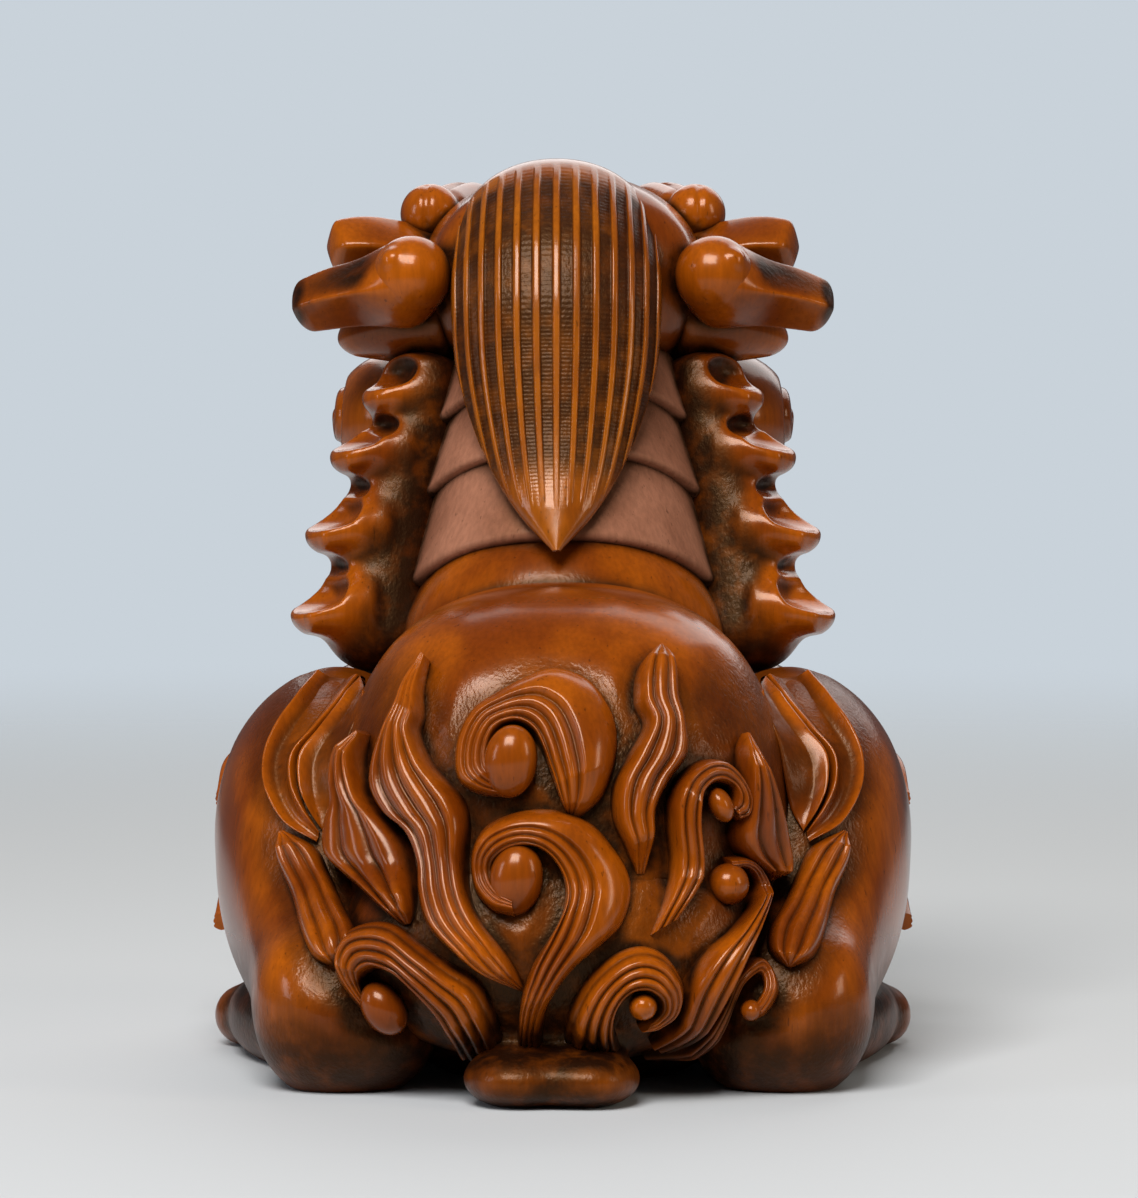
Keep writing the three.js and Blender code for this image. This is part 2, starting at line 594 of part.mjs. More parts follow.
// The tail is drawn on a rump 35 wide and 36 high, and follows this one's size. The thigh locks are
// drawn on a haunch 18.5 wide and 26 high, whose middle lies 17.2 from the body's.
const rumpScale = [RUMP_WIDTH / 35, BODY_TOP / 36];
const onRump = ([x, z]) => at(x * rumpScale[0], 0, z * rumpScale[1]);
const onHaunch = (side) => ([x, z]) => {
  const aside = HAUNCH_SPREAD + ((x - 17.2) * HAUNCH_WIDTH) / 18.5;
  return at(side * aside, 0, (z * HAUNCH_HEIGHT) / 26);
};
const drawn = (edges, place) => edges.map((edge) => edge.map(place));

// Where a point drawn as seen from behind meets the body. One that misses is drawn inwards.
function landing(x, z) {
  for (let inward = 1; inward > 0.5; inward -= 0.03) {
    caster.set(at(x * inward, -BODY_BACK * 10, mix(bodyMiddle, z, inward)), at(0, 1, 0));
    const [hit] = caster.intersectObject(bed);
    if (hit) return hit.point;
  }
  return at(x, -BODY_BACK, z);
}

// The body's outward direction there, from neighbours a little way off.
function outwardAt(x, z) {
  const reach = 1.2;
  const level = landing(x + reach, z).sub(landing(x - reach, z));
  const climb = landing(x, z + reach).sub(landing(x, z - reach));
  const outward = level.cross(climb).normalize();
  return outward.lerp(at(0, -1, 0), 0.35).normalize();
}

// A rounded lock lying on the body between two edges, given as points seen from behind.
// It covers the share of its length between from and to.
function lock(edges, height, grow, steps, from = 0, to = 1) {
  const lines = edges.map((edge) => new THREE.CatmullRomCurve3(edge));
  const middleAt = (t) => lines[0].getPoint(t).lerp(lines[1].getPoint(t), 0.5);
  const rings = [];
  for (let i = 0; i <= steps; i++) {
    const t = mix(from, to, i / steps);
    const seen = middleAt(t);
    const outward = outwardAt(seen.x, seen.z);
    const across = lines[1].getPoint(t).sub(seen);
    const half = across.length();
    across.addScaledVector(outward, -across.dot(outward)).normalize();
    const slope = Math.max(0.6, Math.hypot(across.x, across.z)); // the face's turn from the viewer
    const wide = Math.max(TIP, half / slope) + grow;
    const tall = Math.min(height, LOCK_EDGE + wide) + grow;
    const centre = landing(seen.x, seen.z);
    const step = middleAt(Math.min(1, t + 0.01)).sub(middleAt(Math.max(0, t - 0.01))).normalize();
    if (i === 0) centre.addScaledVector(step, -grow);
    if (i === steps) centre.addScaledVector(step, grow);
    const ring = [];
    for (let s = 0; s < LOCK_SIDES - 2; s++) {
      const angle = (Math.PI * s) / (LOCK_SIDES - 3);
      const aside = wide * Math.cos(angle);
      const rise = tall * Math.sin(angle) ** 0.8;
      ring.push(centre.clone().addScaledVector(across, aside).addScaledVector(outward, rise));
    }
    const under = centre.clone().addScaledVector(outward, -LOCK_SUNK - grow);
    for (const end of [-0.9, 0.9]) ring.push(under.clone().addScaledVector(across, wide * end));
    rings.push(ring);
  }
  return loft(rings);
}

// A lock that rolls up into a curl round a bead [x, z, half width, half height].
function curl({ inner, outer, bead }, grow) {
  const edges = drawn([inner, outer], onRump);
  const [x, z, wide, tall] = bead;
  const place = onRump([x, z]);
  const outward = outwardAt(place.x, place.z);
  const centre = landing(place.x, place.z).addScaledVector(outward, LOCK_HEIGHT * 0.3);
  const steps = Math.max(4, Math.round(outer.length / 3));
  return join([
    lock(edges, LOCK_HEIGHT, grow, steps, 0, 0.55),
    lock(edges, LOCK_HEIGHT, grow, steps, 0.48, 1),
    ball(centre, at(wide * rumpScale[0], LOCK_HEIGHT * 0.72, tall * rumpScale[1]), grow, 8),
  ]);
}

// The tail, from the highest lock in the carving to the deepest: each one is fitted to those above.
// Each edge runs from the root of the lock to its point, or to the bead that it rolls up round.
const CURLS = {
  tail_curl_middle: {
    inner: [
      [-3.3, 2.8], [-3.2, 5.4], [-2.9, 8], [-2.2, 10], [-1.2, 11.6], [-0.3, 13.1], [0.1, 14.5],
      [0, 15.9], [-0.6, 17.2], [-1.5, 18], [-2.5, 18.2], [-3.5, 17.9], [-4.3, 17.1], [-4.5, 16.2],
      [-4.3, 15.2], [-3.5, 14.4],
    ],
    outer: [
      [-1.1, 2.8], [-1.4, 5.4], [-0.8, 7.7], [0.7, 9.8], [2.6, 11.4], [4.1, 12.8], [4.8, 14.9],
      [4.5, 16.6], [3.5, 18.2], [2, 19.8], [-0.1, 20.7], [-2.1, 20.8], [-3.9, 20.4], [-5.5, 19.5],
      [-6.3, 18], [-6.4, 16.2], [-6, 14.7], [-4.9, 13.7], [-3.4, 13.4],
    ],
    bead: [-3.3, 16, 1.9, 2.6],
  },
  tail_curl_upper: {
    inner: [
      [0.3, 20.4], [-0.3, 21.7], [-0.9, 23.3], [-1.5, 24.8], [-2.1, 25.8], [-2.9, 26.3], [-3.7, 26.3],
      [-4.4, 25.8], [-4.7, 24.8], [-4.6, 23.8], [-4.2, 23], [-3.6, 22.5],
    ],
    outer: [
      [1.1, 20.1], [2.8, 21.7], [3.7, 24.1], [3.8, 26.4], [3.1, 28.2], [1.7, 29.8], [-0.6, 30.5],
      [-2.7, 29.8], [-4.7, 28.7], [-6.3, 27.6], [-7.3, 25.9], [-7.6, 24.1], [-7.3, 22.6], [-6, 21.8],
      [-4.5, 21.6], [-3.4, 21.8],
    ],
    bead: [-3.7, 24.2, 1.9, 2.6],
  },
  tail_curl_left_low: {
    inner: [
      [-7.5, 3.1], [-8.3, 5.2], [-9.3, 6.8], [-10.4, 8], [-11.5, 8.9], [-12.7, 9.4], [-13.7, 9],
      [-14.2, 8.1], [-14, 7.1], [-12.9, 6.1],
    ],
    outer: [
      [-4.6, 3.2], [-5.4, 6.1], [-6.3, 8.8], [-7.9, 9.9], [-10, 11.4], [-11.9, 12.6], [-13.7, 12.6],
      [-15.3, 11.7], [-16.1, 9.8], [-15.8, 8.3], [-14.2, 6.3], [-12.7, 5.2], [-11.3, 4.9],
    ],
    bead: [-12.7, 6.6, 1.6, 2],
  },
  tail_curl_right_low: {
    inner: [
      [4.7, 3], [4, 4.3], [3.6, 5.6], [3.7, 6.9], [4.4, 7.9], [5.5, 8.3], [6.4, 7.9], [6.6, 7.1],
      [6, 6.4],
    ],
    outer: [
      [0, 3.1], [0.2, 5.9], [0.8, 7.7], [2.1, 9.6], [4, 11], [5.8, 11.3], [7.4, 10.4], [8.4, 8.5],
      [8, 6.7], [6.6, 5.7], [5.2, 5.7],
    ],
    bead: [5.6, 7.1, 1.3, 1.3],
  },
  tail_curl_right_high: {
    inner: [
      [8.2, 13.1], [9.6, 15.1], [9.8, 17.2], [9.6, 19.2], [9.6, 21.1], [10, 22], [10.7, 22.3],
      [11.4, 22.1], [11.6, 21.4], [11.4, 20.8],
    ],
    outer: [
      [6.1, 12], [7.1, 14.6], [7.5, 17.2], [7.3, 19.8], [7.4, 21.6], [8.2, 23], [9.7, 24], [11.2, 23.9],
      [12.4, 22.7], [13, 21.1], [12.8, 19.9], [12.1, 19.6],
    ],
    bead: [11.2, 20.8, 1.2, 1.5],
  },
  tail_curl_right_middle: {
    inner: [
      [6.1, 4.2], [7.7, 6.3], [8.5, 8.7], [10.1, 10.8], [11.8, 12.1], [13, 13.4], [13.4, 14.8],
      [13, 15.8],
    ],
    outer: [
      [7.6, 3.4], [9.8, 5.2], [11.7, 7.9], [12.8, 10.2], [13.6, 12.1], [14.2, 14.8], [13.6, 16.6],
      [11.8, 17.3], [10.2, 16.8],
    ],
    bead: [11.8, 15.2, 1.8, 1.7],
  },
  tail_curl_right_foot: {
    inner: [
      [5.9, 2.8], [8.8, 3.4], [10.9, 5], [12, 7.3], [12.6, 8.4], [13.4, 8.8], [14, 8.6], [14.2, 7.9],
      [13.8, 7.1], [13.2, 6.7],
    ],
    outer: [
      [5.6, 3.1], [8, 4.2], [9.8, 5.7], [11.2, 7.6], [11.8, 8.8], [13, 9.9], [14.1, 10], [15.1, 8.9],
      [15.3, 7.6], [14.3, 6], [13.3, 5.8],
    ],
    bead: [13.4, 6.5, 1, 1],
  },
};
const FLAMES = {
  tail_flame_left_long: [
    [
      [-3, 8.2], [-5.9, 9.5], [-7.9, 11], [-9.6, 12.6], [-10.2, 14.6], [-10.3, 16.9], [-11.2, 18.9],
      [-12.9, 20.2], [-13.8, 21.9], [-13.5, 23.8], [-12.5, 26], [-11.7, 27.5], [-11.2, 29.1],
      [-10, 31.2],
    ],
    [
      [-2.6, 8.3], [-3.3, 9.8], [-4.3, 11.3], [-5.6, 12.9], [-6.4, 14.6], [-6.7, 16.9], [-6.6, 19.5],
      [-6.9, 21.2], [-7.9, 22.5], [-9.2, 23.8], [-10.2, 25.8], [-9.9, 27.1], [-10, 28.8], [-9.7, 31],
    ],
  ],
  tail_flame_left_low: [
    [
      [-11.3, 12.4], [-13.9, 14.1], [-15.9, 15.4], [-17.2, 17], [-17.1, 19], [-16.4, 20.7],
      [-16.2, 22.7], [-15.6, 24.3], [-14.4, 25.7],
    ],
    [
      [-11, 12.7], [-10.9, 14.1], [-10.9, 16.1], [-11.6, 17.7], [-12.9, 19.4], [-14.4, 20.7],
      [-14.9, 23], [-14.3, 25.5],
    ],
  ],
  tail_flame_right_high: [
    [
      [5.1, 16.2], [4.3, 18.2], [3.5, 20.2], [3.5, 22.5], [4.5, 24.5], [5.6, 26.5], [5, 28.1],
      [5.3, 30.4], [6.8, 31.9],
    ],
    [
      [5.8, 16.2], [6.4, 18.9], [6.6, 20.9], [7.6, 22.7], [8.9, 24.5], [8.7, 26.5], [8.3, 28.1],
      [8.1, 30.1], [7.2, 31.8],
    ],
  ],
  tail_flame_right: [
    [[12.1, 15.8], [11.2, 17], [11.4, 18.6], [12.1, 20.1], [12.5, 22.2], [12.5, 24.5], [12.9, 25.7]],
    [[14.2, 15.2], [15.5, 16.2], [15.9, 17.8], [15.5, 19.6], [14.7, 21.7], [13.8, 23.7], [13.2, 25.6]],
  ],
};
const RIBBON_CREST = [
  [15.5, 30.3], [16.5, 27.7], [17.9, 25.3], [19.4, 23.6], [19.5, 21.7], [18.8, 19.9], [17.7, 18.2],
];
const THIGH_STRIP_OUTER = [
  RIBBON_CREST,
  [[17.4, 30.1], [19.3, 27.4], [21.2, 25.2], [21.9, 23.3], [21.7, 21.1], [20.3, 18.8], [17.9, 17.5]],
];
const THIGH_STRIP_INNER = [
  [[15.3, 29.8], [15.7, 27], [16.2, 24.6], [16.3, 22.3], [16.7, 19.9], [17.5, 18.3]],
  RIBBON_CREST.map(([x, z]) => [x - GLUE_GAP * 2, z]),
];
const THIGH_TUFT = [
  [[20.4, 18.3], [18.1, 17.2], [17, 15.5], [15.9, 13.5], [14.7, 11.9], [14.7, 10.4], [15.9, 9.4]],
  [[20.8, 18.1], [20.9, 16.2], [19.7, 13.8], [18.9, 11.8], [17.9, 10.1], [16.2, 9.3]],
];

// Every piece in the order of fitting: a later piece is cut back to clear the ones before it.

const WOOD = {
  body: 0xa5622b,
  neck: 0x8a5230,
  head: 0x9c5a26,
  mane: 0x7a431c,
  legs: 0xa86630,
  tail: 0x8f5023,
};
const pieces = [];
const add = (name, part, form, colour = WOOD[part]) => pieces.push({ name, part, form, colour });
const sides = [
  ["left", -1],
  ["right", 1],
];
const pair = (name, part, form) => {
  for (const [word, side] of sides) add(`${word}_${name}`, part, (grow) => form(side, grow));
};

add("torso", "body", torso);
PLATE_HEIGHTS.forEach((_, i) => {
  add(i === 0 ? "neck_collar" : `neck_plate_${i}`, "neck", (grow) => neckPlate(i, grow));
});
add("skull", "head", skullForm);
add("mane_lock", "head", maneLock, WOOD.mane);
add("muzzle", "head", muzzle);
add("nose", "head", nose);
add("lower_jaw", "head", lowerJaw);
add("beard", "head", beard);
pair("eye", "head", eye);
pair("brow", "head", brow);
pair("ear_boss", "head", earBoss);
pair("ear", "head", ear);
pair("temple_tuft", "head", templeTuft);
pair("cheek_tuft", "head", cheekTuft);
pair("jowl", "head", jowl);
pair("neck_frill", "neck", frill);
pair("hind_leg", "legs", hindLeg);
pair("hind_foot", "legs", hindFoot);
pair("foreleg", "legs", foreleg);
pair("forepaw", "legs", forepaw);
pair("shoulder_tuft", "legs", (side, grow) => shoulderTuft(side, false, grow));
pair("elbow_tuft", "legs", (side, grow) => shoulderTuft(side, true, grow));
add("tail_root", "tail", tailRoot);
for (const [name, drawing] of Object.entries(CURLS)) add(name, "tail", (grow) => curl(drawing, grow));
for (const [name, edges] of Object.entries(FLAMES)) {
  add(name, "tail", (grow) => lock(drawn(edges, onRump), LOCK_HEIGHT, grow, edges[0].length));
}
const thighLock = (edges) => (side, grow) => lock(drawn(edges, onHaunch(side)), STRIP_HEIGHT, grow, 6);
pair("thigh_strip_outer", "legs", thighLock(THIGH_STRIP_OUTER));
pair("thigh_strip_inner", "legs", thighLock(THIGH_STRIP_INNER));
pair("thigh_tuft", "legs", thighLock(THIGH_TUFT));

const boxOf = (form) => {
  const { min, max } = form.boundingBox();
  return new THREE.Box3(at(...min), at(...max));
};
const largest = (form) => form.decompose().sort((a, b) => b.volume() - a.volume())[0];

const underTable = ground();
const cutters = [];
for (const piece of pieces) {
  let body = piece.form(0).subtract(underTable);
  const box = boxOf(body);
  for (const cutter of cutters) {
    if (cutter.box.intersectsBox(box)) body = body.subtract(cutter.form);
  }
  piece.body = largest(body);
  const grown = piece.form(GLUE_GAP);
  cutters.push({ form: grown, box: boxOf(grown) });
}

// The scene: one named mesh for each piece, grouped by the part of the animal it belongs to

const group = new THREE.Group();
group.name = "qilin_figurine";
const parts = new Map();
for (const { name, part, body, colour } of pieces) {
  if (!parts.has(part)) {
    const branch = new THREE.Group();
    branch.name = part;
    parts.set(part, branch);
    group.add(branch);
  }
  const geometry = geometryOf(body);
  geometry.computeBoundingBox();
  const middle = geometry.boundingBox.getCenter(at(0, 0, 0));
  geometry.translate(-middle.x, -middle.y, -middle.z);
  geometry.computeVertexNormals();
  const material = new THREE.MeshStandardMaterial({ color: colour, roughness: 0.38, metalness: 0 });
  const mesh = new THREE.Mesh(geometry, material);
  mesh.name = name;
  mesh.position.copy(middle);
  parts.get(part).add(mesh);
}

export default group;
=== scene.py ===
"""A carved boxwood qilin figurine, dressed over its CAD frame. Sizes are in millimetres."""

import bpy
import numpy as np
import openvdb
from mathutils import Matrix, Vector
from mathutils.bvhtree import BVHTree


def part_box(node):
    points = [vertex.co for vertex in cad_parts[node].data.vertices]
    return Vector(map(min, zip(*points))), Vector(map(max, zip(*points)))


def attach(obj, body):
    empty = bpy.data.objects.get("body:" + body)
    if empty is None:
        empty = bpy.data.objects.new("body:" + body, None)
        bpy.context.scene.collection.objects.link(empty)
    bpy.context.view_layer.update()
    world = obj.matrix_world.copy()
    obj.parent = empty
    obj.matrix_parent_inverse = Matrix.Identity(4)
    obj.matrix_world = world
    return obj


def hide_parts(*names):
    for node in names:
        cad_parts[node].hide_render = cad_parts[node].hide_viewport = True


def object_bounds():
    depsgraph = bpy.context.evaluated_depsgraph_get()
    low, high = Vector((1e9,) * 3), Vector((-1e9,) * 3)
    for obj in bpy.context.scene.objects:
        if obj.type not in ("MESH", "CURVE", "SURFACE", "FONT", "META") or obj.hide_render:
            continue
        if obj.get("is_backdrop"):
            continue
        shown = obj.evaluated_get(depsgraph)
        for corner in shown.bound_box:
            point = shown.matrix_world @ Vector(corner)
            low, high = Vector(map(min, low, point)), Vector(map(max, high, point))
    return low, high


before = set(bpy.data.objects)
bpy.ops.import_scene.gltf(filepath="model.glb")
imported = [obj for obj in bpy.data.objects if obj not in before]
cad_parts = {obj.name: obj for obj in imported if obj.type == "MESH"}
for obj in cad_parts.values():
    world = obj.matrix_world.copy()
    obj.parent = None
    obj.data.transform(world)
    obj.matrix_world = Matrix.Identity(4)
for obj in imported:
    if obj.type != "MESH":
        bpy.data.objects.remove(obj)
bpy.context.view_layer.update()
MM = 0.001

# Torso
# The torso is the largest mass of the block: a round rump, a barrel and the breast in one.
# It is boxwood, rasped round, scraped and polished, and its belly is cut flat to stand on.


def box_mm(node):
    """The lowest and highest corner of a CAD node."""
    low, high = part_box(node)
    return np.array(low) / MM, np.array(high) / MM


def through(rows, count):
    """A smooth line through rows of numbers, as count rows spread evenly over its stations."""
    rows = np.asarray(rows, float)
    ends = np.vstack([2 * rows[0] - rows[1], rows, 2 * rows[-1] - rows[-2]])
    place = np.linspace(0, len(rows) - 1, count)
    first = np.minimum(place.astype(int), len(rows) - 2)
    f = (place - first)[:, None]
    a, b, c, d = (ends[first + k] for k in range(4))
    return 0.5 * (2 * b + (c - a) * f + (2 * a - 5 * b + 4 * c - d) * f**2 + (3 * b - a - 3 * c + d) * f**3)


def unit(vectors):
    """Vectors cut or stretched to a length of one."""
    return vectors / np.maximum(np.linalg.norm(vectors, axis=-1, keepdims=True), 1e-9)


def loft(rings):
    """A closed skin of triangles over rings of equal count, facing out."""
    count, sides = rings.shape[:2]
    points = np.vstack([rings.reshape(-1, 3), rings[0].mean(0), rings[-1].mean(0)])
    a = (np.arange(count - 1)[:, None] * sides + np.arange(sides)).ravel()
    b = (np.arange(count - 1)[:, None] * sides + (np.arange(sides) + 1) % sides).ravel()
    rim = np.arange(sides)
    after = (rim + 1) % sides
    last = (count - 1) * sides
    low_cap = np.stack([after, rim, np.full(sides, count * sides)], 1)
    high_cap = np.stack([last + rim, last + after, np.full(sides, count * sides + 1)], 1)
    walls = [np.stack([a, b, b + sides], 1), np.stack([a, b + sides, a + sides], 1)]
    faces = np.vstack(walls + [low_cap, high_cap])
    corners = points[faces]
    volume = np.einsum("ij,ij->i", corners[:, 0], np.cross(corners[:, 1], corners[:, 2])).sum()
    return points, faces if volume > 0 else faces[:, ::-1]


def limb(stations, power=2.2, caps=(3, 3), up=(0, 0, 1), sides=56, steps=44, side=1):
    """A skin over oval rings along a smooth line through [x, y, z, half width, half height].

    A side of -1 turns the stations of the right limb into those of the left one.
    """
    spread = (1 - np.cos(np.linspace(0, np.pi, steps + 1))) / 2
    rows = through(stations, 401)[np.round(spread * 400).astype(int)]
    rows[:, 0] *= side
    line = rows[:, :3]
    tangent = unit(np.gradient(line, axis=0))
    across = unit(np.cross(tangent, up))
    upward = np.cross(across, tangent)
    gone = np.concatenate([[0], np.cumsum(np.linalg.norm(np.diff(line, axis=0), axis=1))])
    swell = np.ones(len(line))
    for cap, way in ((caps[0], gone), (caps[1], gone[-1] - gone)):
        if cap > 0:
            swell = np.minimum(swell, np.sqrt(1 - (1 - np.minimum(1, way / cap)) ** 2))
    half = np.maximum(0.06, rows[:, 3:5] * swell[:, None])
    angle = np.linspace(0, 2 * np.pi, sides, endpoint=False)
    bend = [np.sign(wave) * np.abs(wave) ** (2 / power) for wave in (np.cos(angle), np.sin(angle))]
    rings = line[:, None] + across[:, None] * (half[:, :1] * bend[0])[..., None]
    return loft(rings + upward[:, None] * (half[:, 1:] * bend[1])[..., None])


def egg(centre, half, sides=40):
    """A ball with its own half sizes along X, Y and Z."""
    x, y, z = centre
    stations = [[x, y + step * half[1], z, half[0], half[2]] for step in (-1, 0, 1)]
    return limb(stations, power=2, caps=(half[1], half[1]), sides=sides, steps=sides)


def meet(a, b, blend):
    """The nearer of two distances, with the inner corner rounded over blend."""
    if blend <= 0:
        return np.minimum(a, b)
    near = np.maximum(blend - np.abs(a - b), 0) / blend
    return np.minimum(a, b) - near * near * blend / 4


def distances(points, faces, shape, band):
    """Distances from a closed skin over a grid of cells one unit wide, below zero inside it."""
    grid = openvdb.FloatGrid.createLevelSetFromPolygons(
        points.astype(np.float32),
        triangles=faces.astype(np.uint32),
        transform=openvdb.createLinearTransform(1.0),
        halfWidth=band,
    )
    values = np.full(shape, band, np.float32)
    grid.copyToArray(values)
    return values


def carve(forms, voxel=0.2, blend=0.0, cuts=(), cut_blend=0.2, soften=1):
    """Forms joined into one skin of quads, with the cuts taken out and the edges softened."""
    every = np.concatenate([points for points, _ in forms])
    margin = 1.0 + 4 * voxel
    low = every.min(0) - margin
    shape = np.ceil((every.max(0) + margin - low) / voxel).astype(int)
    band = 4 + 1.2 * max(blend, cut_blend) / voxel

    def distance(form):
        points, faces = form
        return distances((points - low) / voxel, faces, shape, band) * voxel

    skin = distance(forms[0])
    for form in forms[1:]:
        skin = meet(skin, distance(form), blend)
    for cut in cuts:
        skin = -meet(-skin, distance(cut), cut_blend)
    for _ in range(soften):
        for axis in range(3):
            skin = 0.5 * skin + 0.25 * (np.roll(skin, 1, axis) + np.roll(skin, -1, axis))
    volume = openvdb.FloatGrid()
    volume.copyFromArray(skin.astype(np.float32))
    points, quads = volume.convertToQuads(0.0)
    return points * voxel + low, quads.astype(np.int64)


def linear(code):
    """An sRGB hex colour as linear red, green, blue and alpha."""
    values = np.array([int(code[i : i + 2], 16) for i in (1, 3, 5)]) / 255
    values = np.where(values <= 0.04045, values / 12.92, ((values + 0.055) / 1.055) ** 2.4)
    return (*values, 1.0)


def add(tree, kind, inputs=(), **settings):
    """Adds a node with its settings, gives its inputs values or links, and returns its outputs."""
    made = tree.nodes.new(kind)
    for key, value in settings.items():
        setattr(made, key, value)
    for key, value in inputs.items() if isinstance(inputs, dict) else enumerate(inputs):
        named = [socket for socket in made.inputs if key in (socket.identifier, socket.name)]
        socket = named[0] if named else made.inputs[key]
        if isinstance(value, bpy.types.NodeSocket):
            tree.links.new(value, socket)
        else:
            socket.default_value = value
    return made.outputs


TOOTH_STEP = 0.32  # between the marks that a toothed scraper leaves
AMBER = "#FFBE78"  # the tint of the wax


def boxwood(name, light, ground, stain, roughness, coat, tool_depth, groove_stain, tooth_depth=0.0):
    """Boxwood: very fine grain, a warm wax shine on the high places, and dark stain with painted shade in the
    low ones.
    """
    wood = bpy.data.materials.new(name)
    wood.use_nodes = True
    tree = wood.node_tree
    shader = tree.nodes["Principled BSDF"]
    place = add(tree, "ShaderNodeTexCoord")["Object"]
    carved = {}
    for key in ("shade_and_stain", "groove", "along", "ground"):
        carved[key] = add(tree, "ShaderNodeAttribute", attribute_name=key)["Fac"]
    grain = {}
    for key, size_mm, detail in (
        ("cloud", (9, 9, 14), 3),  # drifts of colour in the wax
        ("fibre", (0.35, 0.35, 4.5), 4),  # fibres, which run up the block
        ("pore", (0.3, 0.3, 1.6), 2),
        ("patch", (1.6, 1.6, 1.6), 3),  # where the stain took well or badly
        ("stroke", (0.3, 0.3, 0.45), 2),  # marks of the scraper
    ):
        scale = [1 / (s * MM) for s in size_mm]
        scaled = add(tree, "ShaderNodeMapping", {"Vector": place, "Scale": scale})[0]
        inputs = {"Vector": scaled, "Scale": 1.0, "Detail": detail, "Roughness": 0.55}
        grain[key] = add(tree, "ShaderNodeTexNoise", inputs)["Fac"]
    share = {}
    for key, limits in {  # what each share follows, where that starts and ends, and the share there
        "light": (grain["cloud"], 0.35, 0.68, 0.0, 1.0),
        # high places painted lighter: handling wear, and on the frill's upturned scoops painted light
        "rubbed_and_lit": (carved["shade_and_stain"], -0.1, -0.7, 0.0, 0.6),
        "fibre": (grain["fibre"], 0.3, 0.7, 0.2, 0.0),
        "pore": (grain["pore"], 0.66, 0.74, 0.0, 0.5),
        # painted shade and stain in hollows, creases, joins between masses and low places
        "hollow": (carved["shade_and_stain"], -0.06, 0.5, 0.0, 1.0),
        "groove": (carved["groove"], 0.3, 1.0, 0.0, groove_stain),
        "ground": (carved["ground"], 0.1, 0.95, 0.0, 0.6),
        "patch": (grain["patch"], 0.25, 0.6, 0.72, 1.0),
    }.items():
        share[key] = add(tree, "ShaderNodeMapRange", limits, interpolation_type="SMOOTHSTEP")[0]
    # The dark layer carries painted shade from the hollows together with the real stain in grooves and on the
    # ground.
    stained = share["hollow"]
    for operation, key in (("MAXIMUM", "groove"), ("MAXIMUM", "ground"), ("MULTIPLY", "patch")):
        stained = add(tree, "ShaderNodeMath", [stained, share[key]], operation=operation)[0]
    share["stain"] = stained
    layers = {"light": light, "rubbed_and_lit": light, "fibre": "#000000", "pore": stain, "stain": stain}
    colour = linear(ground)
    for key, over in layers.items():
        inputs = {"Factor_Float": share[key], "A_Color": colour, "B_Color": linear(over)}
        colour = add(tree, "ShaderNodeMix", inputs, data_type="RGBA")[2]
    tooth = carved["along"]
    for operation, other in (
        ("MULTIPLY", 2 * np.pi / TOOTH_STEP),
        ("SINE", 0.0),
        ("MULTIPLY", carved["groove"]),
    ):
        tooth = add(tree, "ShaderNodeMath", [tooth, other], operation=operation)[0]
    rough = add(tree, "ShaderNodeMath", [carved["ground"], 0.7, tool_depth], operation="MULTIPLY_ADD")[0]
    rough = add(tree, "ShaderNodeMath", [rough, stained], operation="ADD")[0]
    relief = 0.0
    for height, depth in ((grain["fibre"], 0.1), (grain["stroke"], rough), (tooth, tooth_depth)):
        relief = add(tree, "ShaderNodeMath", [height, depth, relief], operation="MULTIPLY_ADD")[0]
    bump = add(tree, "ShaderNodeBump", {"Height": relief, "Strength": 0.4, "Distance": 0.12 * MM})[0]
    for socket, end, clear, deep in (  # the wax is duller and thinner in the hollows
        ("Roughness", 1.0, roughness, roughness + 0.2),
        ("Coat Weight", 0.8, coat, coat * 0.15),
    ):
        limits = (stained, 0.0, end, clear, deep)
        level = add(tree, "ShaderNodeMapRange", limits, interpolation_type="SMOOTHSTEP")[0]
        tree.links.new(level, shader.inputs[socket])
    for socket, source in (("Base Color", colour), ("Normal", bump), ("Coat Normal", bump)):
        tree.links.new(source, shader.inputs[socket])
    wax = {"IOR": 1.5, "Specular IOR Level": 0.32, "Coat Roughness": 0.16, "Coat IOR": 1.4}
    for socket, value in wax.items():
        shader.inputs[socket].default_value = value
    shader.inputs["Specular Tint"].default_value = linear(AMBER)
    return wood


# Waxed boxwood is honey brown, nearly black in the cuts from stain and painted shade, under a clear shine.
polished = boxwood(
    "waxed_boxwood", "#A65006", "#743003", "#1A0702",
    roughness=0.24, coat=0.5, tool_depth=0.05, groove_stain=0.7,
)
pieces = []


def make_piece(node, skin, wood=polished):
    """The finished piece in place of its CAD node: a smooth mesh that stands on the table."""
    points, faces = skin
    points = np.array(points, float)
    points[:, 2] = np.maximum(points[:, 2], 0)
    mesh = bpy.data.meshes.new("carved_" + node)
    mesh.vertices.add(len(points))
    mesh.vertices.foreach_set("co", (points * MM).astype(np.float32).ravel())
    corners = faces.shape[1]
    mesh.loops.add(faces.size)
    mesh.loops.foreach_set("vertex_index", faces.astype(np.int32).ravel())
    mesh.polygons.add(len(faces))
    mesh.polygons.foreach_set("loop_start", np.arange(0, faces.size, corners, dtype=np.int32))
    mesh.update(calc_edges=True)
    mesh.shade_smooth()
    mesh.materials.append(wood)
    place_piece(node, mesh)


def place_piece(node, mesh):
    """Sets a finished mesh on the figurine, where its CAD node is."""
    piece = bpy.data.objects.new("carved_" + node, mesh)
    bpy.context.scene.collection.objects.link(piece)
    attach(piece, "root")
    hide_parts(node)
    pieces.append(piece)


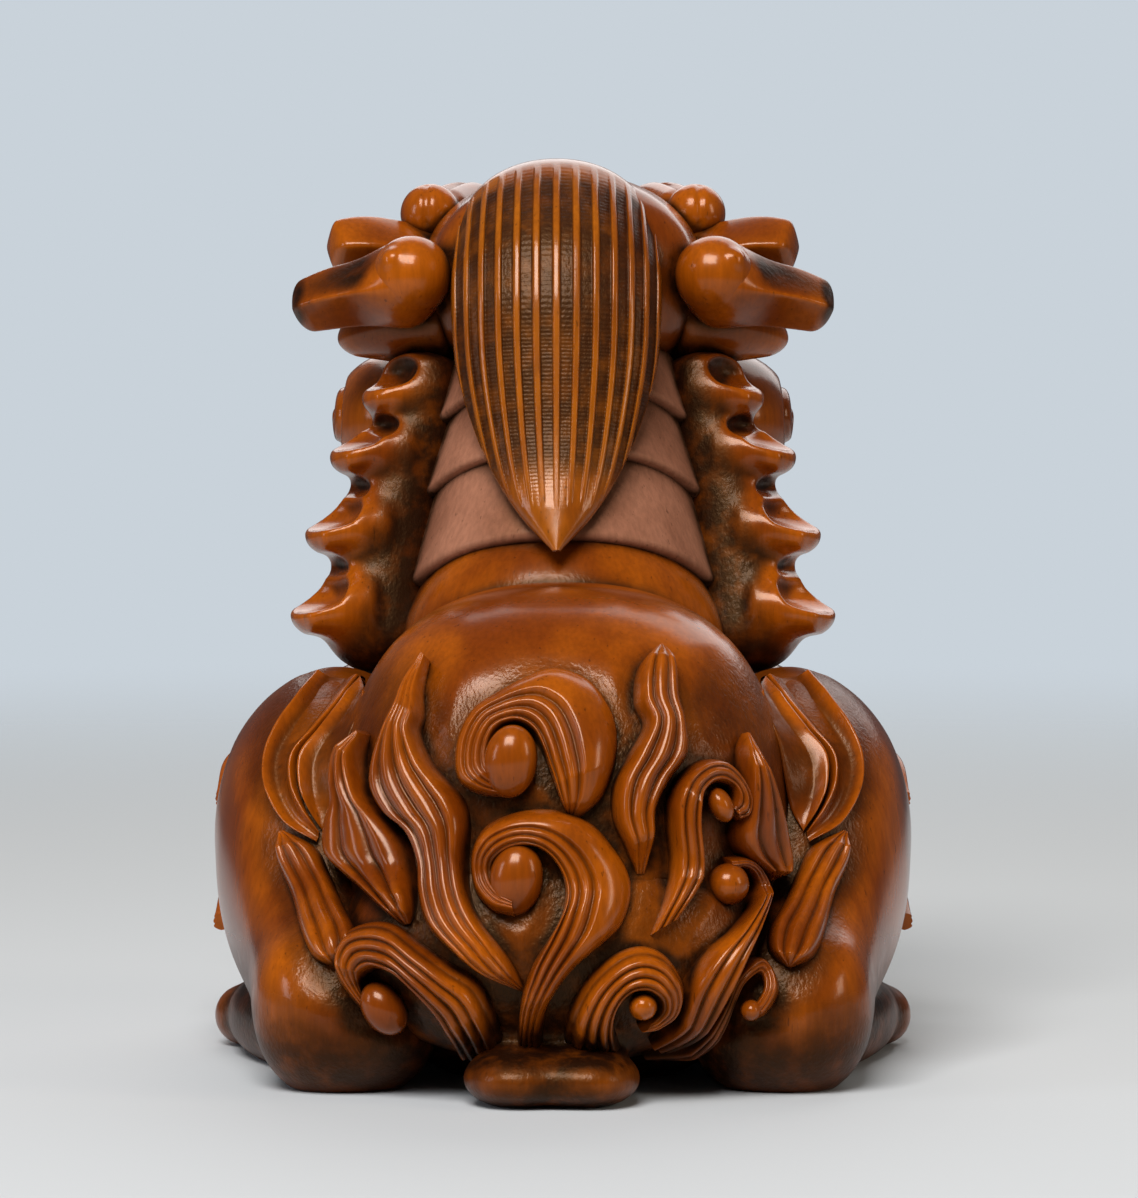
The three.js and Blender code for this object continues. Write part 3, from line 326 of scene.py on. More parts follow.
RUMP_WIDTH, BREAST_WIDTH = 35.0, 27.0
torso_low, torso_high = box_mm("torso")
back, front, top = torso_low[1], torso_high[1], torso_high[2]
belly = -1.5  # the barrel's underside before it is cut level
middle, half_tall = (top + belly) / 2, (top - belly) / 2
torso_form = [
    [0, back, middle - 1, RUMP_WIDTH * 0.485, half_tall * 0.92],
    [0, back / 2, middle, RUMP_WIDTH / 2, half_tall],
    [0, 0, middle, (RUMP_WIDTH + BREAST_WIDTH) / 4, half_tall * 0.96],
    [0, front, middle, BREAST_WIDTH / 2, half_tall * 0.88],
]
torso_form = limb(torso_form, power=2.4, caps=(17, 13), sides=120, steps=90)
torso = carve([torso_form], voxel=0.34, soften=3)
make_piece("torso", torso)

# Neck plates
# Four plates stack up the leaning neck, each with a rim that stands out over the next one down.
# The lowest is a polished collar; the others are left matte from the scraper.
NECK_LEAN = np.radians(18)
NECK_FOOT = np.array([0, 0, 22.0])
NECK_LENGTH, NECK_FOOT_WIDTH, NECK_TOP_WIDTH = 33.0, 27.5, 18.5
COLLAR_START = 9.5
PLATE_HEIGHTS = (4.4, 7.2, 5.8, 5.6)
PLATE_LIP = 0.75
PLATE_DROOP = 1.8  # each rim bends down towards its two ends
RIGHT = np.array([1.0, 0, 0])
neck_axis = np.array([0, np.sin(NECK_LEAN), np.cos(NECK_LEAN)])
neck_back = np.array([0, -np.cos(NECK_LEAN), np.sin(NECK_LEAN)])


def neck_point(along):
    return NECK_FOOT + neck_axis * along


def neck_radius(along):
    return (NECK_FOOT_WIDTH + (NECK_TOP_WIDTH - NECK_FOOT_WIDTH) * along / NECK_LENGTH) / 2


def neck_plate(start, end, bulge):
    """Rings up one plate: an undercut foot, a rounded rim, and a face that hollows or bulges."""
    angle = np.linspace(0, 2 * np.pi, 160, endpoint=False)
    wobble = 1 + 0.004 * np.sin(3 * angle + start) + 0.003 * np.sin(7 * angle + 2 * start)
    rings = []
    for t in np.concatenate([[0.0, 0.02, 0.05, 0.09], np.linspace(0.13, 1, 26)]):
        rim = np.sqrt(1 - (1 - min(1, t / 0.09)) ** 2)
        stand = PLATE_LIP * (rim - 0.6 + 0.6 * (1 - t) ** 2 - 0.6 * t) + bulge * np.sin(np.pi * t) * rim
        radius = (neck_radius(start + (end - start) * t) + stand - 0.5 * (1 - rim)) * wobble
        spokes = np.outer(np.cos(angle), RIGHT) + np.outer(np.sin(angle), neck_back)
        droop = np.outer(-PLATE_DROOP * np.cos(angle) ** 4, neck_axis)
        rings.append(neck_point(start + (end - start) * t) + spokes * radius[:, None] + droop)
    return loft(np.array(rings))


# Scraped boxwood is paler and dull, with fine strokes and hardly any wax.
matte = boxwood(
    "scraped_boxwood", "#A06A50", "#80503A", "#1F0B04",
    roughness=0.5, coat=0.05, tool_depth=0.75, groove_stain=0.5,
)
start = COLLAR_START
for index, height in enumerate(PLATE_HEIGHTS):
    collar = index == 0
    plate = neck_plate(start - (1.0 if collar else 0), start + height + 0.3, 0.55 if collar else 0.12)
    name = "neck_collar" if collar else f"neck_plate_{index}"
    make_piece(name, plate, polished if collar else matte)
    start += height

# Side frills
# A column of hooked points runs down each side of the neck, smallest at the top.
# Each hook was undercut with a gouge, which leaves a polished scoop above a sharp lip.
HOOK_TIPS = ((15.3, 49.4), (17.7, 44.8), (19.5, 38.8), (20.5, 32.7))  # out from the middle, and up
COLUMN = ((10.7, 53.0, 3.2), (11.3, 47.5, 3.6), (12.9, 42.0, 3.9), (13.9, 36.0, 4.3), (14.2, 28.6, 4.0))


def frill_row(side, out, up, backward, *half):
    """A station beside the neck: how far out, how high, how far behind its axis, and its half sizes."""
    along = (up - NECK_FOOT[2]) / neck_axis[2]
    return [side * out, neck_point(along)[1] - backward, up, *half]


SIDES = (("left", -1), ("right", 1))
for word, side in SIDES:
    column = [frill_row(side, out, up, 1.8, half, 3.4) for out, up, half in COLUMN]
    forms = [limb(column, power=1.9, caps=(1.5, 3), up=(0, 1, 0))]
    scoops = []
    for i, (out, up) in enumerate(HOOK_TIPS):
        size = 0.85 + 0.09 * i
        hook = [
            frill_row(side, out - 6.0, up + 0.6, 2.4, 3.0 * size, 2.8 * size),
            frill_row(side, out - 2.8, up + 0.7, 3.2, 3.0 * size, 2.2 * size),
            frill_row(side, out - 0.6, up + 0.2, 3.6, 2.4 * size, 1.3 * size),
            frill_row(side, out + 0.2, up, 3.8, 1.6 * size, 0.8),
        ]
        forms.append(limb(hook, power=2.2, caps=(1, 0.8)))
        spoon = [
            frill_row(side, out - 4.0, up + 3.0, 5.4, 1.8 * size, 1.2 * size),
            frill_row(side, out - 2.0, up + 2.6, 5.4, 3.2 * size, 1.6 * size),
            frill_row(side, out + 1.6, up + 2.2, 5.4, 4.8 * size, 1.7 * size),
        ]
        scoops.append(limb(spoon, caps=(1.4, 1), sides=40))
        undercut = frill_row(side, out - 0.4, up - 2.0 * size, 5.4)
        scoops.append(egg(undercut, (2.6 * size, 4.2 * size, 1.2 * size)))
    make_piece(f"{word}_neck_frill", carve(forms, voxel=0.16, blend=1.0, cuts=scoops, cut_blend=0.2))

# Skull and jaws
# The head is one mass with a broad snout: brow ridge, cheekbones, lips over a row of teeth, and a
# lower jaw that hangs a little open. The face was cut with small gouges and polished last.
SKULL_WIDTH, SKULL_HEIGHT, SKULL_LENGTH = 22.5, 17.0, 25.0
MUZZLE_WIDTH, MUZZLE_HEIGHT, JAW_HEIGHT = 16.5, 9.5, 6.5
neck_top = neck_point(NECK_LENGTH)
skull_y, skull_z = neck_top[1] + 2.3, neck_top[2] + SKULL_HEIGHT * 0.32
skull_front, skull_top = skull_y + SKULL_LENGTH / 2, skull_z + SKULL_HEIGHT / 2
muzzle_front = box_mm("muzzle")[1][1]
muzzle_z = skull_z - SKULL_HEIGHT * 0.2
jaw_z = muzzle_z - MUZZLE_HEIGHT / 2 - 1.4 - JAW_HEIGHT / 2
eye_place = np.array([SKULL_WIDTH * 0.3, skull_front - 1.35, skull_z + SKULL_HEIGHT * 0.13])
eye_places = [eye_place * (side, 1, 1) for _, side in SIDES]

skull = [
    [0, skull_y - SKULL_LENGTH / 2, skull_z, SKULL_WIDTH * 0.38, SKULL_HEIGHT * 0.42],
    [0, skull_y - SKULL_LENGTH * 0.2, skull_z, SKULL_WIDTH * 0.48, SKULL_HEIGHT / 2],
    [0, skull_y + SKULL_LENGTH * 0.2, skull_z, SKULL_WIDTH / 2, SKULL_HEIGHT / 2],
    [0, skull_front, skull_z - 1.5, SKULL_WIDTH * 0.42, SKULL_HEIGHT * 0.4],
]
skull = limb(skull, caps=(6, 5), sides=90, steps=70)
cheekbones = [egg((s * 8.2, skull_front - 4.2, skull_z - 3.6), (3.6, 4.6, 3.2)) for s in (-1, 1)]
sockets = [egg(place + (0, 1.2, 0), (3.5, 2.6, 3.1)) for place in eye_places]
make_piece("skull", carve([skull] + cheekbones, voxel=0.26, blend=2.0, cuts=sockets, soften=2))

muzzle_back = skull_front - 3.9
muzzle = [
    [0, muzzle_back, muzzle_z + 1, MUZZLE_WIDTH / 2, MUZZLE_HEIGHT / 2],
    [0, (muzzle_back + muzzle_front) / 2, muzzle_z, MUZZLE_WIDTH * 0.44, MUZZLE_HEIGHT * 0.44],
    [0, muzzle_front - 1.2, muzzle_z, MUZZLE_WIDTH * 0.47, MUZZLE_HEIGHT * 0.44],
]
muzzle = limb(muzzle, power=2.5, caps=(1.5, 3.5))
pads = [egg((s * 4.2, muzzle_front - 3.0, muzzle_z - 1.0), (3.9, 3.0, 3.0)) for s in (-1, 1)]
bridge = egg((0, muzzle_front - 8.0, muzzle_z + 3.6), (3.4, 6.0, 2.2))
LIP_DEPTH, TEETH_DEPTH = 11.5, 9.5  # how far behind the front of the jaw their ends lie


def lip_roll(z, half_wide, reach, thick):
    """A roll of lip round the front of a jaw, from one corner of the mouth to the other."""
    bow = []
    for a in np.linspace(-0.5 * np.pi, 0.5 * np.pi, 9):
        y = reach - LIP_DEPTH + LIP_DEPTH * np.cos(a) ** 0.8
        bow.append([half_wide * np.sin(a), y, z, thick, thick * 0.8])
    return limb(bow, caps=(0.8, 0.8), sides=24, steps=60)


def tooth_row(z, half_wide, reach, tall, count):
    """Teeth round a jaw, with a longer fang near each end."""
    teeth = []
    for k in range(count):
        a = np.pi * (k / (count - 1) - 0.5) * 0.86
        fang = 1.7 if k in (1, count - 2) else 1.0
        centre = (half_wide * np.sin(a), reach - TEETH_DEPTH + TEETH_DEPTH * np.cos(a) ** 0.8, z)
        teeth.append(egg(centre, (0.85, 0.8, tall * fang), sides=20))
    return teeth


snout = [muzzle] + pads + [bridge, lip_roll(muzzle_z - 3.7, 7.4, muzzle_front - 0.7, 0.95)]
snout += tooth_row(muzzle_z - 4.8, 6.2, muzzle_front - 1.4, 1.1, 8)
make_piece("muzzle", carve(snout, voxel=0.18, blend=0.9))

nose_place = np.array([0, muzzle_front - 2.0, muzzle_z + MUZZLE_HEIGHT * 0.42])
nose = [egg(nose_place, (3.6, 2.8, 2.3))]
nose += [egg(nose_place + (s * 3.1, 0.2, -0.6), (2.4, 2.3, 1.9)) for s in (-1, 1)]
nostrils = [egg(nose_place + (s * 2.9, 2.2, -1.0), (1.15, 1.6, 0.9)) for s in (-1, 1)]
make_piece("nose", carve(nose, voxel=0.13, blend=1.0, cuts=nostrils))

jaw_back, jaw_front = skull_y, muzzle_front - 2.6
jaw = [
    [0, jaw_back, jaw_z + 2.6, SKULL_WIDTH * 0.32, JAW_HEIGHT * 0.55],
    [0, jaw_back + (jaw_front - jaw_back) * 0.55, jaw_z + 0.4, MUZZLE_WIDTH * 0.46, JAW_HEIGHT / 2],
    [0, jaw_front - 0.6, jaw_z, MUZZLE_WIDTH * 0.38, JAW_HEIGHT * 0.44],
]
jaw = limb(jaw, power=2.4, caps=(2, 4))
chin = egg((0, jaw_front - 2.4, jaw_z - 1.0), (3.4, 2.6, 2.2))
lower = [jaw, chin, lip_roll(jaw_z + 2.3, 6.6, jaw_front - 0.6, 0.85)]
lower += tooth_row(jaw_z + 3.2, 5.4, jaw_front - 1.2, 0.95, 7)
make_piece("lower_jaw", carve(lower, voxel=0.18, blend=0.9))

# Eyes, brows and jowls
# Bulging eyes sit in rolled lids under heavy brows whose outer ends curl up into balls.
# The jowls are round masses, each cut with one spiral stroke of the gouge.
EYE_DIAMETER, BROW_BALL, JOWL_WIDTH = 5.4, 4.8, 11.0
for (word, side), place in zip(SIDES, eye_places):
    eyeball = egg(place, (EYE_DIAMETER / 2,) * 3)
    lid = []
    for a in np.linspace(0, 2 * np.pi, 13):
        rim = place + (2.75 * np.cos(a), 0.9 - 0.25 * side * np.cos(a), 2.2 * np.sin(a))
        lid.append([*rim, 0.55, 0.6])
    lid = limb(lid, caps=(0, 0), up=(0, 1, 0), sides=20)
    pupil = egg(place + (side * 0.3, EYE_DIAMETER / 2, -0.1), (0.75, 0.5, 0.75))
    make_piece(f"{word}_eye", carve([eyeball, lid], voxel=0.11, blend=0.3, cuts=[pupil]))

    roll = BROW_BALL / 2
    brow = []
    for aside, y, drop, wide, tall in (
        (0.13, skull_front + 0.2, 0.22, 0.7, 0.6),
        (0.33, skull_front - 1.2, 0.12, 0.9, 0.85),
        (0.45, skull_y + 4, 0.17, 0.9, 0.8),
    ):
        z = skull_top - SKULL_HEIGHT * drop
        brow.append([side * SKULL_WIDTH * aside, y, z, roll * wide, roll * tall])
    ball_place = np.array([side * SKULL_WIDTH * 0.47, skull_y + 2.5, skull_top - roll - 0.5])
    forms = [limb(brow, caps=(1.5, 2)), egg(ball_place, (roll, roll, roll))]
    strokes = []
    for offset in (-0.95, 0.0, 0.95):
        line = []
        for x, y, z, _, tall in brow:
            stroke_x = x + side * 0.35 * offset - side * offset * 0.8
            line.append([stroke_x, y + 0.8 * offset, z + tall + 0.15 - 0.25 * offset**2, 0.28, 0.3])
        strokes.append(limb(line, caps=(0.5, 0.5), sides=12))
    crease = []
    for a in np.linspace(-0.5, 1.5, 7):
        crease.append([*(ball_place + (side * 0.3, -roll * np.cos(a), roll * np.sin(a))), 0.22, 0.25])
    strokes.append(limb(crease, caps=(0.3, 0.3), up=(1, 0, 0), sides=12))
    make_piece(f"{word}_brow", carve(forms, voxel=0.145, blend=1.2, cuts=strokes))

    jowl_half = np.array([JOWL_WIDTH / 2, JOWL_WIDTH * 0.7, JOWL_WIDTH / 2])
    jowl_place = np.array([side * (MUZZLE_WIDTH * 0.46 + jowl_half[0]), skull_y + 5.5, jaw_z + 2])
    spiral = []
    for a in np.linspace(0, 3.4 * np.pi, 23):
        r = 0.62 - 0.047 * a
        y, z = r * np.cos(a), r * np.sin(a)
        x = side * np.sqrt(max(0, 1 - y * y - z * z))
        spiral.append([*(jowl_place + jowl_half * (x, y, z)), 0.45, 0.45])
    groove = limb(spiral, caps=(0.5, 0.5), up=(1, 0, 0), sides=14, steps=120)
    make_piece(f"{word}_jowl", carve([egg(jowl_place, jowl_half)], voxel=0.21, cuts=[groove]))

# Ears and tufts
# Each ear is a thick leaf that droops from a round boss; a tuft stands out of the temple above it
# and another from the cheek below. Their edges are left crisp and their tips are stained dark.
EAR_LENGTH, EAR_HEIGHT, EAR_BALL, EAR_SPREAD, TEMPLE_TUFT = 8.6, 4.4, 6.2, 11.7, 8.6
ear_z, ear_y = skull_z + 0.4, skull_y - SKULL_LENGTH * 0.36
for word, side in SIDES:
    boss_place = np.array([side * EAR_SPREAD, ear_y, ear_z])
    nipple = [
        [*(boss_place + (side * 1.5, -2.0, 1.2)), 0.9, 0.9],
        [*(boss_place + (side * 2.1, -2.3, 1.5)), 0.3, 0.3],
    ]
    boss = [egg(boss_place, (EAR_BALL / 2,) * 3), limb(nipple, caps=(0.3, 0.3), sides=20)]
    make_piece(f"{word}_ear_boss", carve(boss, voxel=0.14, blend=0.7))

    root = EAR_SPREAD + EAR_BALL * 0.12
    leaf = [
        [root - 1.2, ear_y + 1.2, ear_z - 0.9, 2.6, EAR_HEIGHT * 0.6],
        [root + EAR_LENGTH * 0.5, ear_y + 1.8, ear_z - 1.5, 2.9, EAR_HEIGHT * 0.58],
        [root + EAR_LENGTH, ear_y + 2.6, ear_z - 2.6, 2.0, EAR_HEIGHT * 0.46],
    ]
    leaf = limb(leaf, power=1.1, caps=(1, 1.3), side=side)
    saddle = egg(boss_place + (0, 0.4, -0.2), (EAR_BALL * 0.46,) * 3)  # the ear's root swells into its boss
    make_piece(f"{word}_ear", carve([leaf, saddle], voxel=0.15, blend=3.0))

    root = SKULL_WIDTH * 0.44
    temple = [
        [root, skull_y + 2, skull_z + 2.0, 3.2, 2.4],
        [root + TEMPLE_TUFT * 0.62, skull_y + 0.6, skull_z + 2.9, 3.2, 2.5],
        [root + TEMPLE_TUFT, skull_y - 0.4, skull_z + 2.9, 2.4, 2.1],
    ]
    temple = limb(temple, power=1.15, caps=(1, 0.7), side=side)
    hollow = egg((side * (root + TEMPLE_TUFT * 0.66), skull_y + 3.6, skull_z + 3.2), (2.4, 1.7, 1.4))
    make_piece(f"{word}_temple_tuft", carve([temple], voxel=0.17, cuts=[hollow], soften=2))

    cheek = [
        [SKULL_WIDTH * 0.36, skull_y - 4, skull_z - 3, 3.8, 3.4],
        [SKULL_WIDTH * 0.6, skull_y - 3, skull_z - 3.6, 3.5, 2.7],
        [SKULL_WIDTH * 0.79, skull_y - 2, skull_z - 4.6, 1.2, 1.1],
    ]
    cheek = limb(cheek, power=1.8, caps=(1, 1.4), side=side)
    make_piece(f"{word}_cheek_tuft", carve([cheek], voxel=0.2, soften=2))

# Legs and feet
# Full haunches run down to heels that rest on the table, and the forelegs fold under the breast.
# They are rounded with rasps from the same block; the toes are parted by knife cuts.
HAUNCH_WIDTH, HAUNCH_LENGTH, HAUNCH_HEIGHT, HAUNCH_SPREAD = 18.5, 33.0, 26.0, 17.2
HEEL_WIDTH, HEEL_HEIGHT = 13.0, 11.0
FOOT_WIDTH, FOOT_HEIGHT, FOOT_LENGTH, TOE_DIAMETER = 9.4, 7.0, 17.0, 4.6
SHOULDER_WIDTH, SHOULDER_LENGTH, SHOULDER_HEIGHT, FOREARM_WIDTH = 16.0, 20.0, 25.0, 8.4
shoulder = np.array([BREAST_WIDTH * 0.56, front * 0.56, SHOULDER_HEIGHT / 2 + 4])
heel_back = back + 2


def foot(stations):
    """An instep with three toes, parted by knife cuts and each ending in a blunt claw."""
    x, y, z, wide, _ = stations[-1]
    toe = TOE_DIAMETER / 2
    spread = wide - toe * 0.55
    forms = [limb(stations, caps=(2, 3))]
    cuts = []
    for k in (-1, 0, 1):
        centre = np.array([x + k * spread, y - abs(k) * 1.1 - toe * 0.3, z - 0.2])
        forms.append(egg(centre, (toe * 0.98, toe * 1.3, toe)))
        claw = [(0.8, 0.5, 0.75), (1.35, 0.05, 0.7), (1.6, -0.6, 0.25)]
        claw = [[*(centre + (0, toe * a, toe * b)), w, w] for a, b, w in claw]
        forms.append(limb(claw, caps=(0.5, 0.4), sides=20))
    for k in (-0.5, 0.5):
        parting = [
            [x + k * spread * 0.75, y - 6.5, z + 2.9, 0.3, 0.3],
            [x + k * spread, y - 2, z + 2.1, 0.45, 0.6],
            [x + k * spread * 1.1, y + 2.4, z - 1.5, 0.45, 0.9],
        ]
        cuts.append(limb(parting, caps=(1, 0.4), sides=16))
    return carve(forms, voxel=0.2, blend=0.9, cuts=cuts)


bed_skins = [torso]
for word, side in SIDES:
    thigh_half = (HAUNCH_WIDTH / 2, HAUNCH_LENGTH / 2, HAUNCH_HEIGHT / 2)
    thigh = egg((side * HAUNCH_SPREAD, -5, HAUNCH_HEIGHT / 2 + 3.6), thigh_half, 90)
    heel_z = HEEL_HEIGHT / 2 - 0.8
    wide, tall = HEEL_WIDTH, HEEL_HEIGHT
    shank = [
        [HAUNCH_SPREAD - 0.5, heel_back * 0.25, heel_z + 6, wide * 0.5, tall * 0.7],
        [HAUNCH_SPREAD - 1.4, heel_back * 0.72, heel_z + 1.8, wide * 0.53, tall * 0.68],
        [HAUNCH_SPREAD - 2.6, heel_back, heel_z, wide * 0.5, tall * 0.53],
    ]
    shank = limb(shank, caps=(3, 6), sides=90, steps=60, side=side)
    leg = carve([thigh, shank], voxel=0.3, blend=6, soften=6)
    bed_skins.append(leg)
    make_piece(f"{word}_hind_leg", leg)

    half, tall = FOOT_WIDTH / 2, FOOT_HEIGHT / 2
    instep = [
        [side * (HAUNCH_SPREAD + 0.3), 1 - FOOT_LENGTH, tall - 0.6, half * 0.9, tall],
        [side * (HAUNCH_SPREAD + 3.2), 1 - FOOT_LENGTH / 2, tall - 0.6, half, tall],
        [side * (HAUNCH_SPREAD + 4.4), 1, tall - 1, half * 0.9, tall * 0.85],
    ]
    make_piece(f"{word}_hind_foot", foot(instep))

    shoulder_half = (SHOULDER_WIDTH / 2, SHOULDER_LENGTH / 2, SHOULDER_HEIGHT / 2)
    upper_arm = egg(shoulder * (side, 1, 1), shoulder_half, 70)
    arm = FOREARM_WIDTH / 2
    forearm = [
        [shoulder[0] + 3.8, shoulder[1] - 4, 8.5, arm * 1.1, arm * 1.25],
        [shoulder[0] + 3.2, shoulder[1] + 5, 5, arm, arm * 1.1],
        [shoulder[0] + 1.8, shoulder[1] + 14, arm * 0.85, arm * 0.92, arm * 0.9],
    ]
    forearm = limb(forearm, caps=(3, 2), side=side)
    make_piece(f"{word}_foreleg", carve([upper_arm, forearm], voxel=0.3, blend=3.2, soften=2))

    start = shoulder[1] + 13.4
    paw_x = side * (shoulder[0] + 1.7)
    paw = [
        [paw_x, start, tall - 0.6, half * 0.85, tall],
        [paw_x, start + FOOT_LENGTH * 0.35, tall - 0.6, half, tall * 0.95],
        [paw_x, start + FOOT_LENGTH * 0.56, tall - 1, half * 0.9, tall * 0.8],
    ]
    make_piece(f"{word}_forepaw", foot(paw))

# Tail root
# The tail starts as a rolled lip, low behind the rump, with a shallow dent in it, and swells above that
# into the mass that the lower curls are cut from. The lip stands out furthest, so it is rubbed smooth.
LIP_WIDTH, LIP_HEIGHT, LIP_LENGTH, LIP_ASIDE = 11.4, 3.6, 8.0, -0.8
lip_y = back - 0.5
lip = [
    [LIP_ASIDE - LIP_WIDTH / 2, lip_y + 0.8, LIP_HEIGHT / 2, LIP_LENGTH * 0.36, LIP_HEIGHT * 0.42],
    [LIP_ASIDE, lip_y + 0.3, LIP_HEIGHT / 2, LIP_LENGTH * 0.44, LIP_HEIGHT * 0.42],
    [LIP_ASIDE + LIP_WIDTH / 2, lip_y + 0.8, LIP_HEIGHT / 2, LIP_LENGTH * 0.36, LIP_HEIGHT * 0.42],
]
lip = limb(lip)
lobe_half = (3.4, LIP_LENGTH / 2, LIP_HEIGHT * 0.5)
lobes = [egg((LIP_ASIDE + side * 2.6, lip_y, LIP_HEIGHT * 0.54), lobe_half) for _, side in SIDES]
fan = egg((LIP_ASIDE + 0.2, lip_y + 7, 10.2), (15.6, 8.8, 8.2), 80)
root_skin = carve([lip, fan] + lobes, voxel=0.25, blend=1.6, soften=2)
bed_skins.append(fan)
make_piece("tail_root", root_skin)

# Tail locks
# Eleven locks spread up over the rump from the root: flames that end in a point, and curls that roll
# up round a bead. Each stands proud of the ground, and flutes cut with a small gouge follow its length.


def fluted(flutes, share=1.0, lean=1.0, steep=4.0):
    """Across a lock from edge 0 to edge 1: its crown, and the reeds that fill its first share."""
    s = np.linspace(0, 1, 72)
    crown = (1 - np.abs(2 * s**lean - 1) ** steep) ** 0.7
    reeds = 1 - np.abs(np.sin(np.pi * flutes * s / share)) ** 0.85
    return s, crown, np.where(s < share, reeds, np.clip(1 - (s - share) / 0.08, 0, 1))


def keep(mesh, key, values):
    """Keeps a number or a vector on every vertex of a mesh."""
    vector = values.ndim == 2
    layer = mesh.attributes.new(key, "FLOAT_VECTOR" if vector else "FLOAT", "POINT")
    layer.data.foreach_set("vector" if vector else "value", values.astype(np.float32).ravel())


def wire_object(name, points, attributes, closed):
    """A line of vertices in metres that carries numbers or vectors on its points."""
    mesh = bpy.data.meshes.new(name)
    count = len(points)
    edges = [(i, (i + 1) % count) for i in range(count if closed else count - 1)]
    mesh.from_pydata(points.tolist(), edges, [])
    for key, values in attributes.items():
        keep(mesh, key, values)
    wire = bpy.data.objects.new(name, mesh)
    bpy.context.scene.collection.objects.link(wire)
    return wire


outlines = []


def outline_object(name, across, crown, groove, sunk, edge=0.05, count=6, power=0.25):
    """Keeps an outline where the tree can read it: over its crown, and back through the wood below."""
    under = np.linspace(1 - edge, edge, count)
    dip = -sunk * (1 - (2 * under - 1) ** 2) ** power
    across = np.concatenate([across, under])
    crown = np.concatenate([crown, dip])
    groove = np.concatenate([groove, under * 0])
    points = np.stack([crown, across, across * 0], 1) * MM
    arc = np.arcsin(0.85 * (2 * across - 1)) / (2 * np.arcsin(0.85))  # even steps round a crown
    numbers = {"across": across, "crown": crown, "groove": groove, "arc": arc}
    outlines.append(wire_object(name, points, numbers, True))
    return outlines[-1]


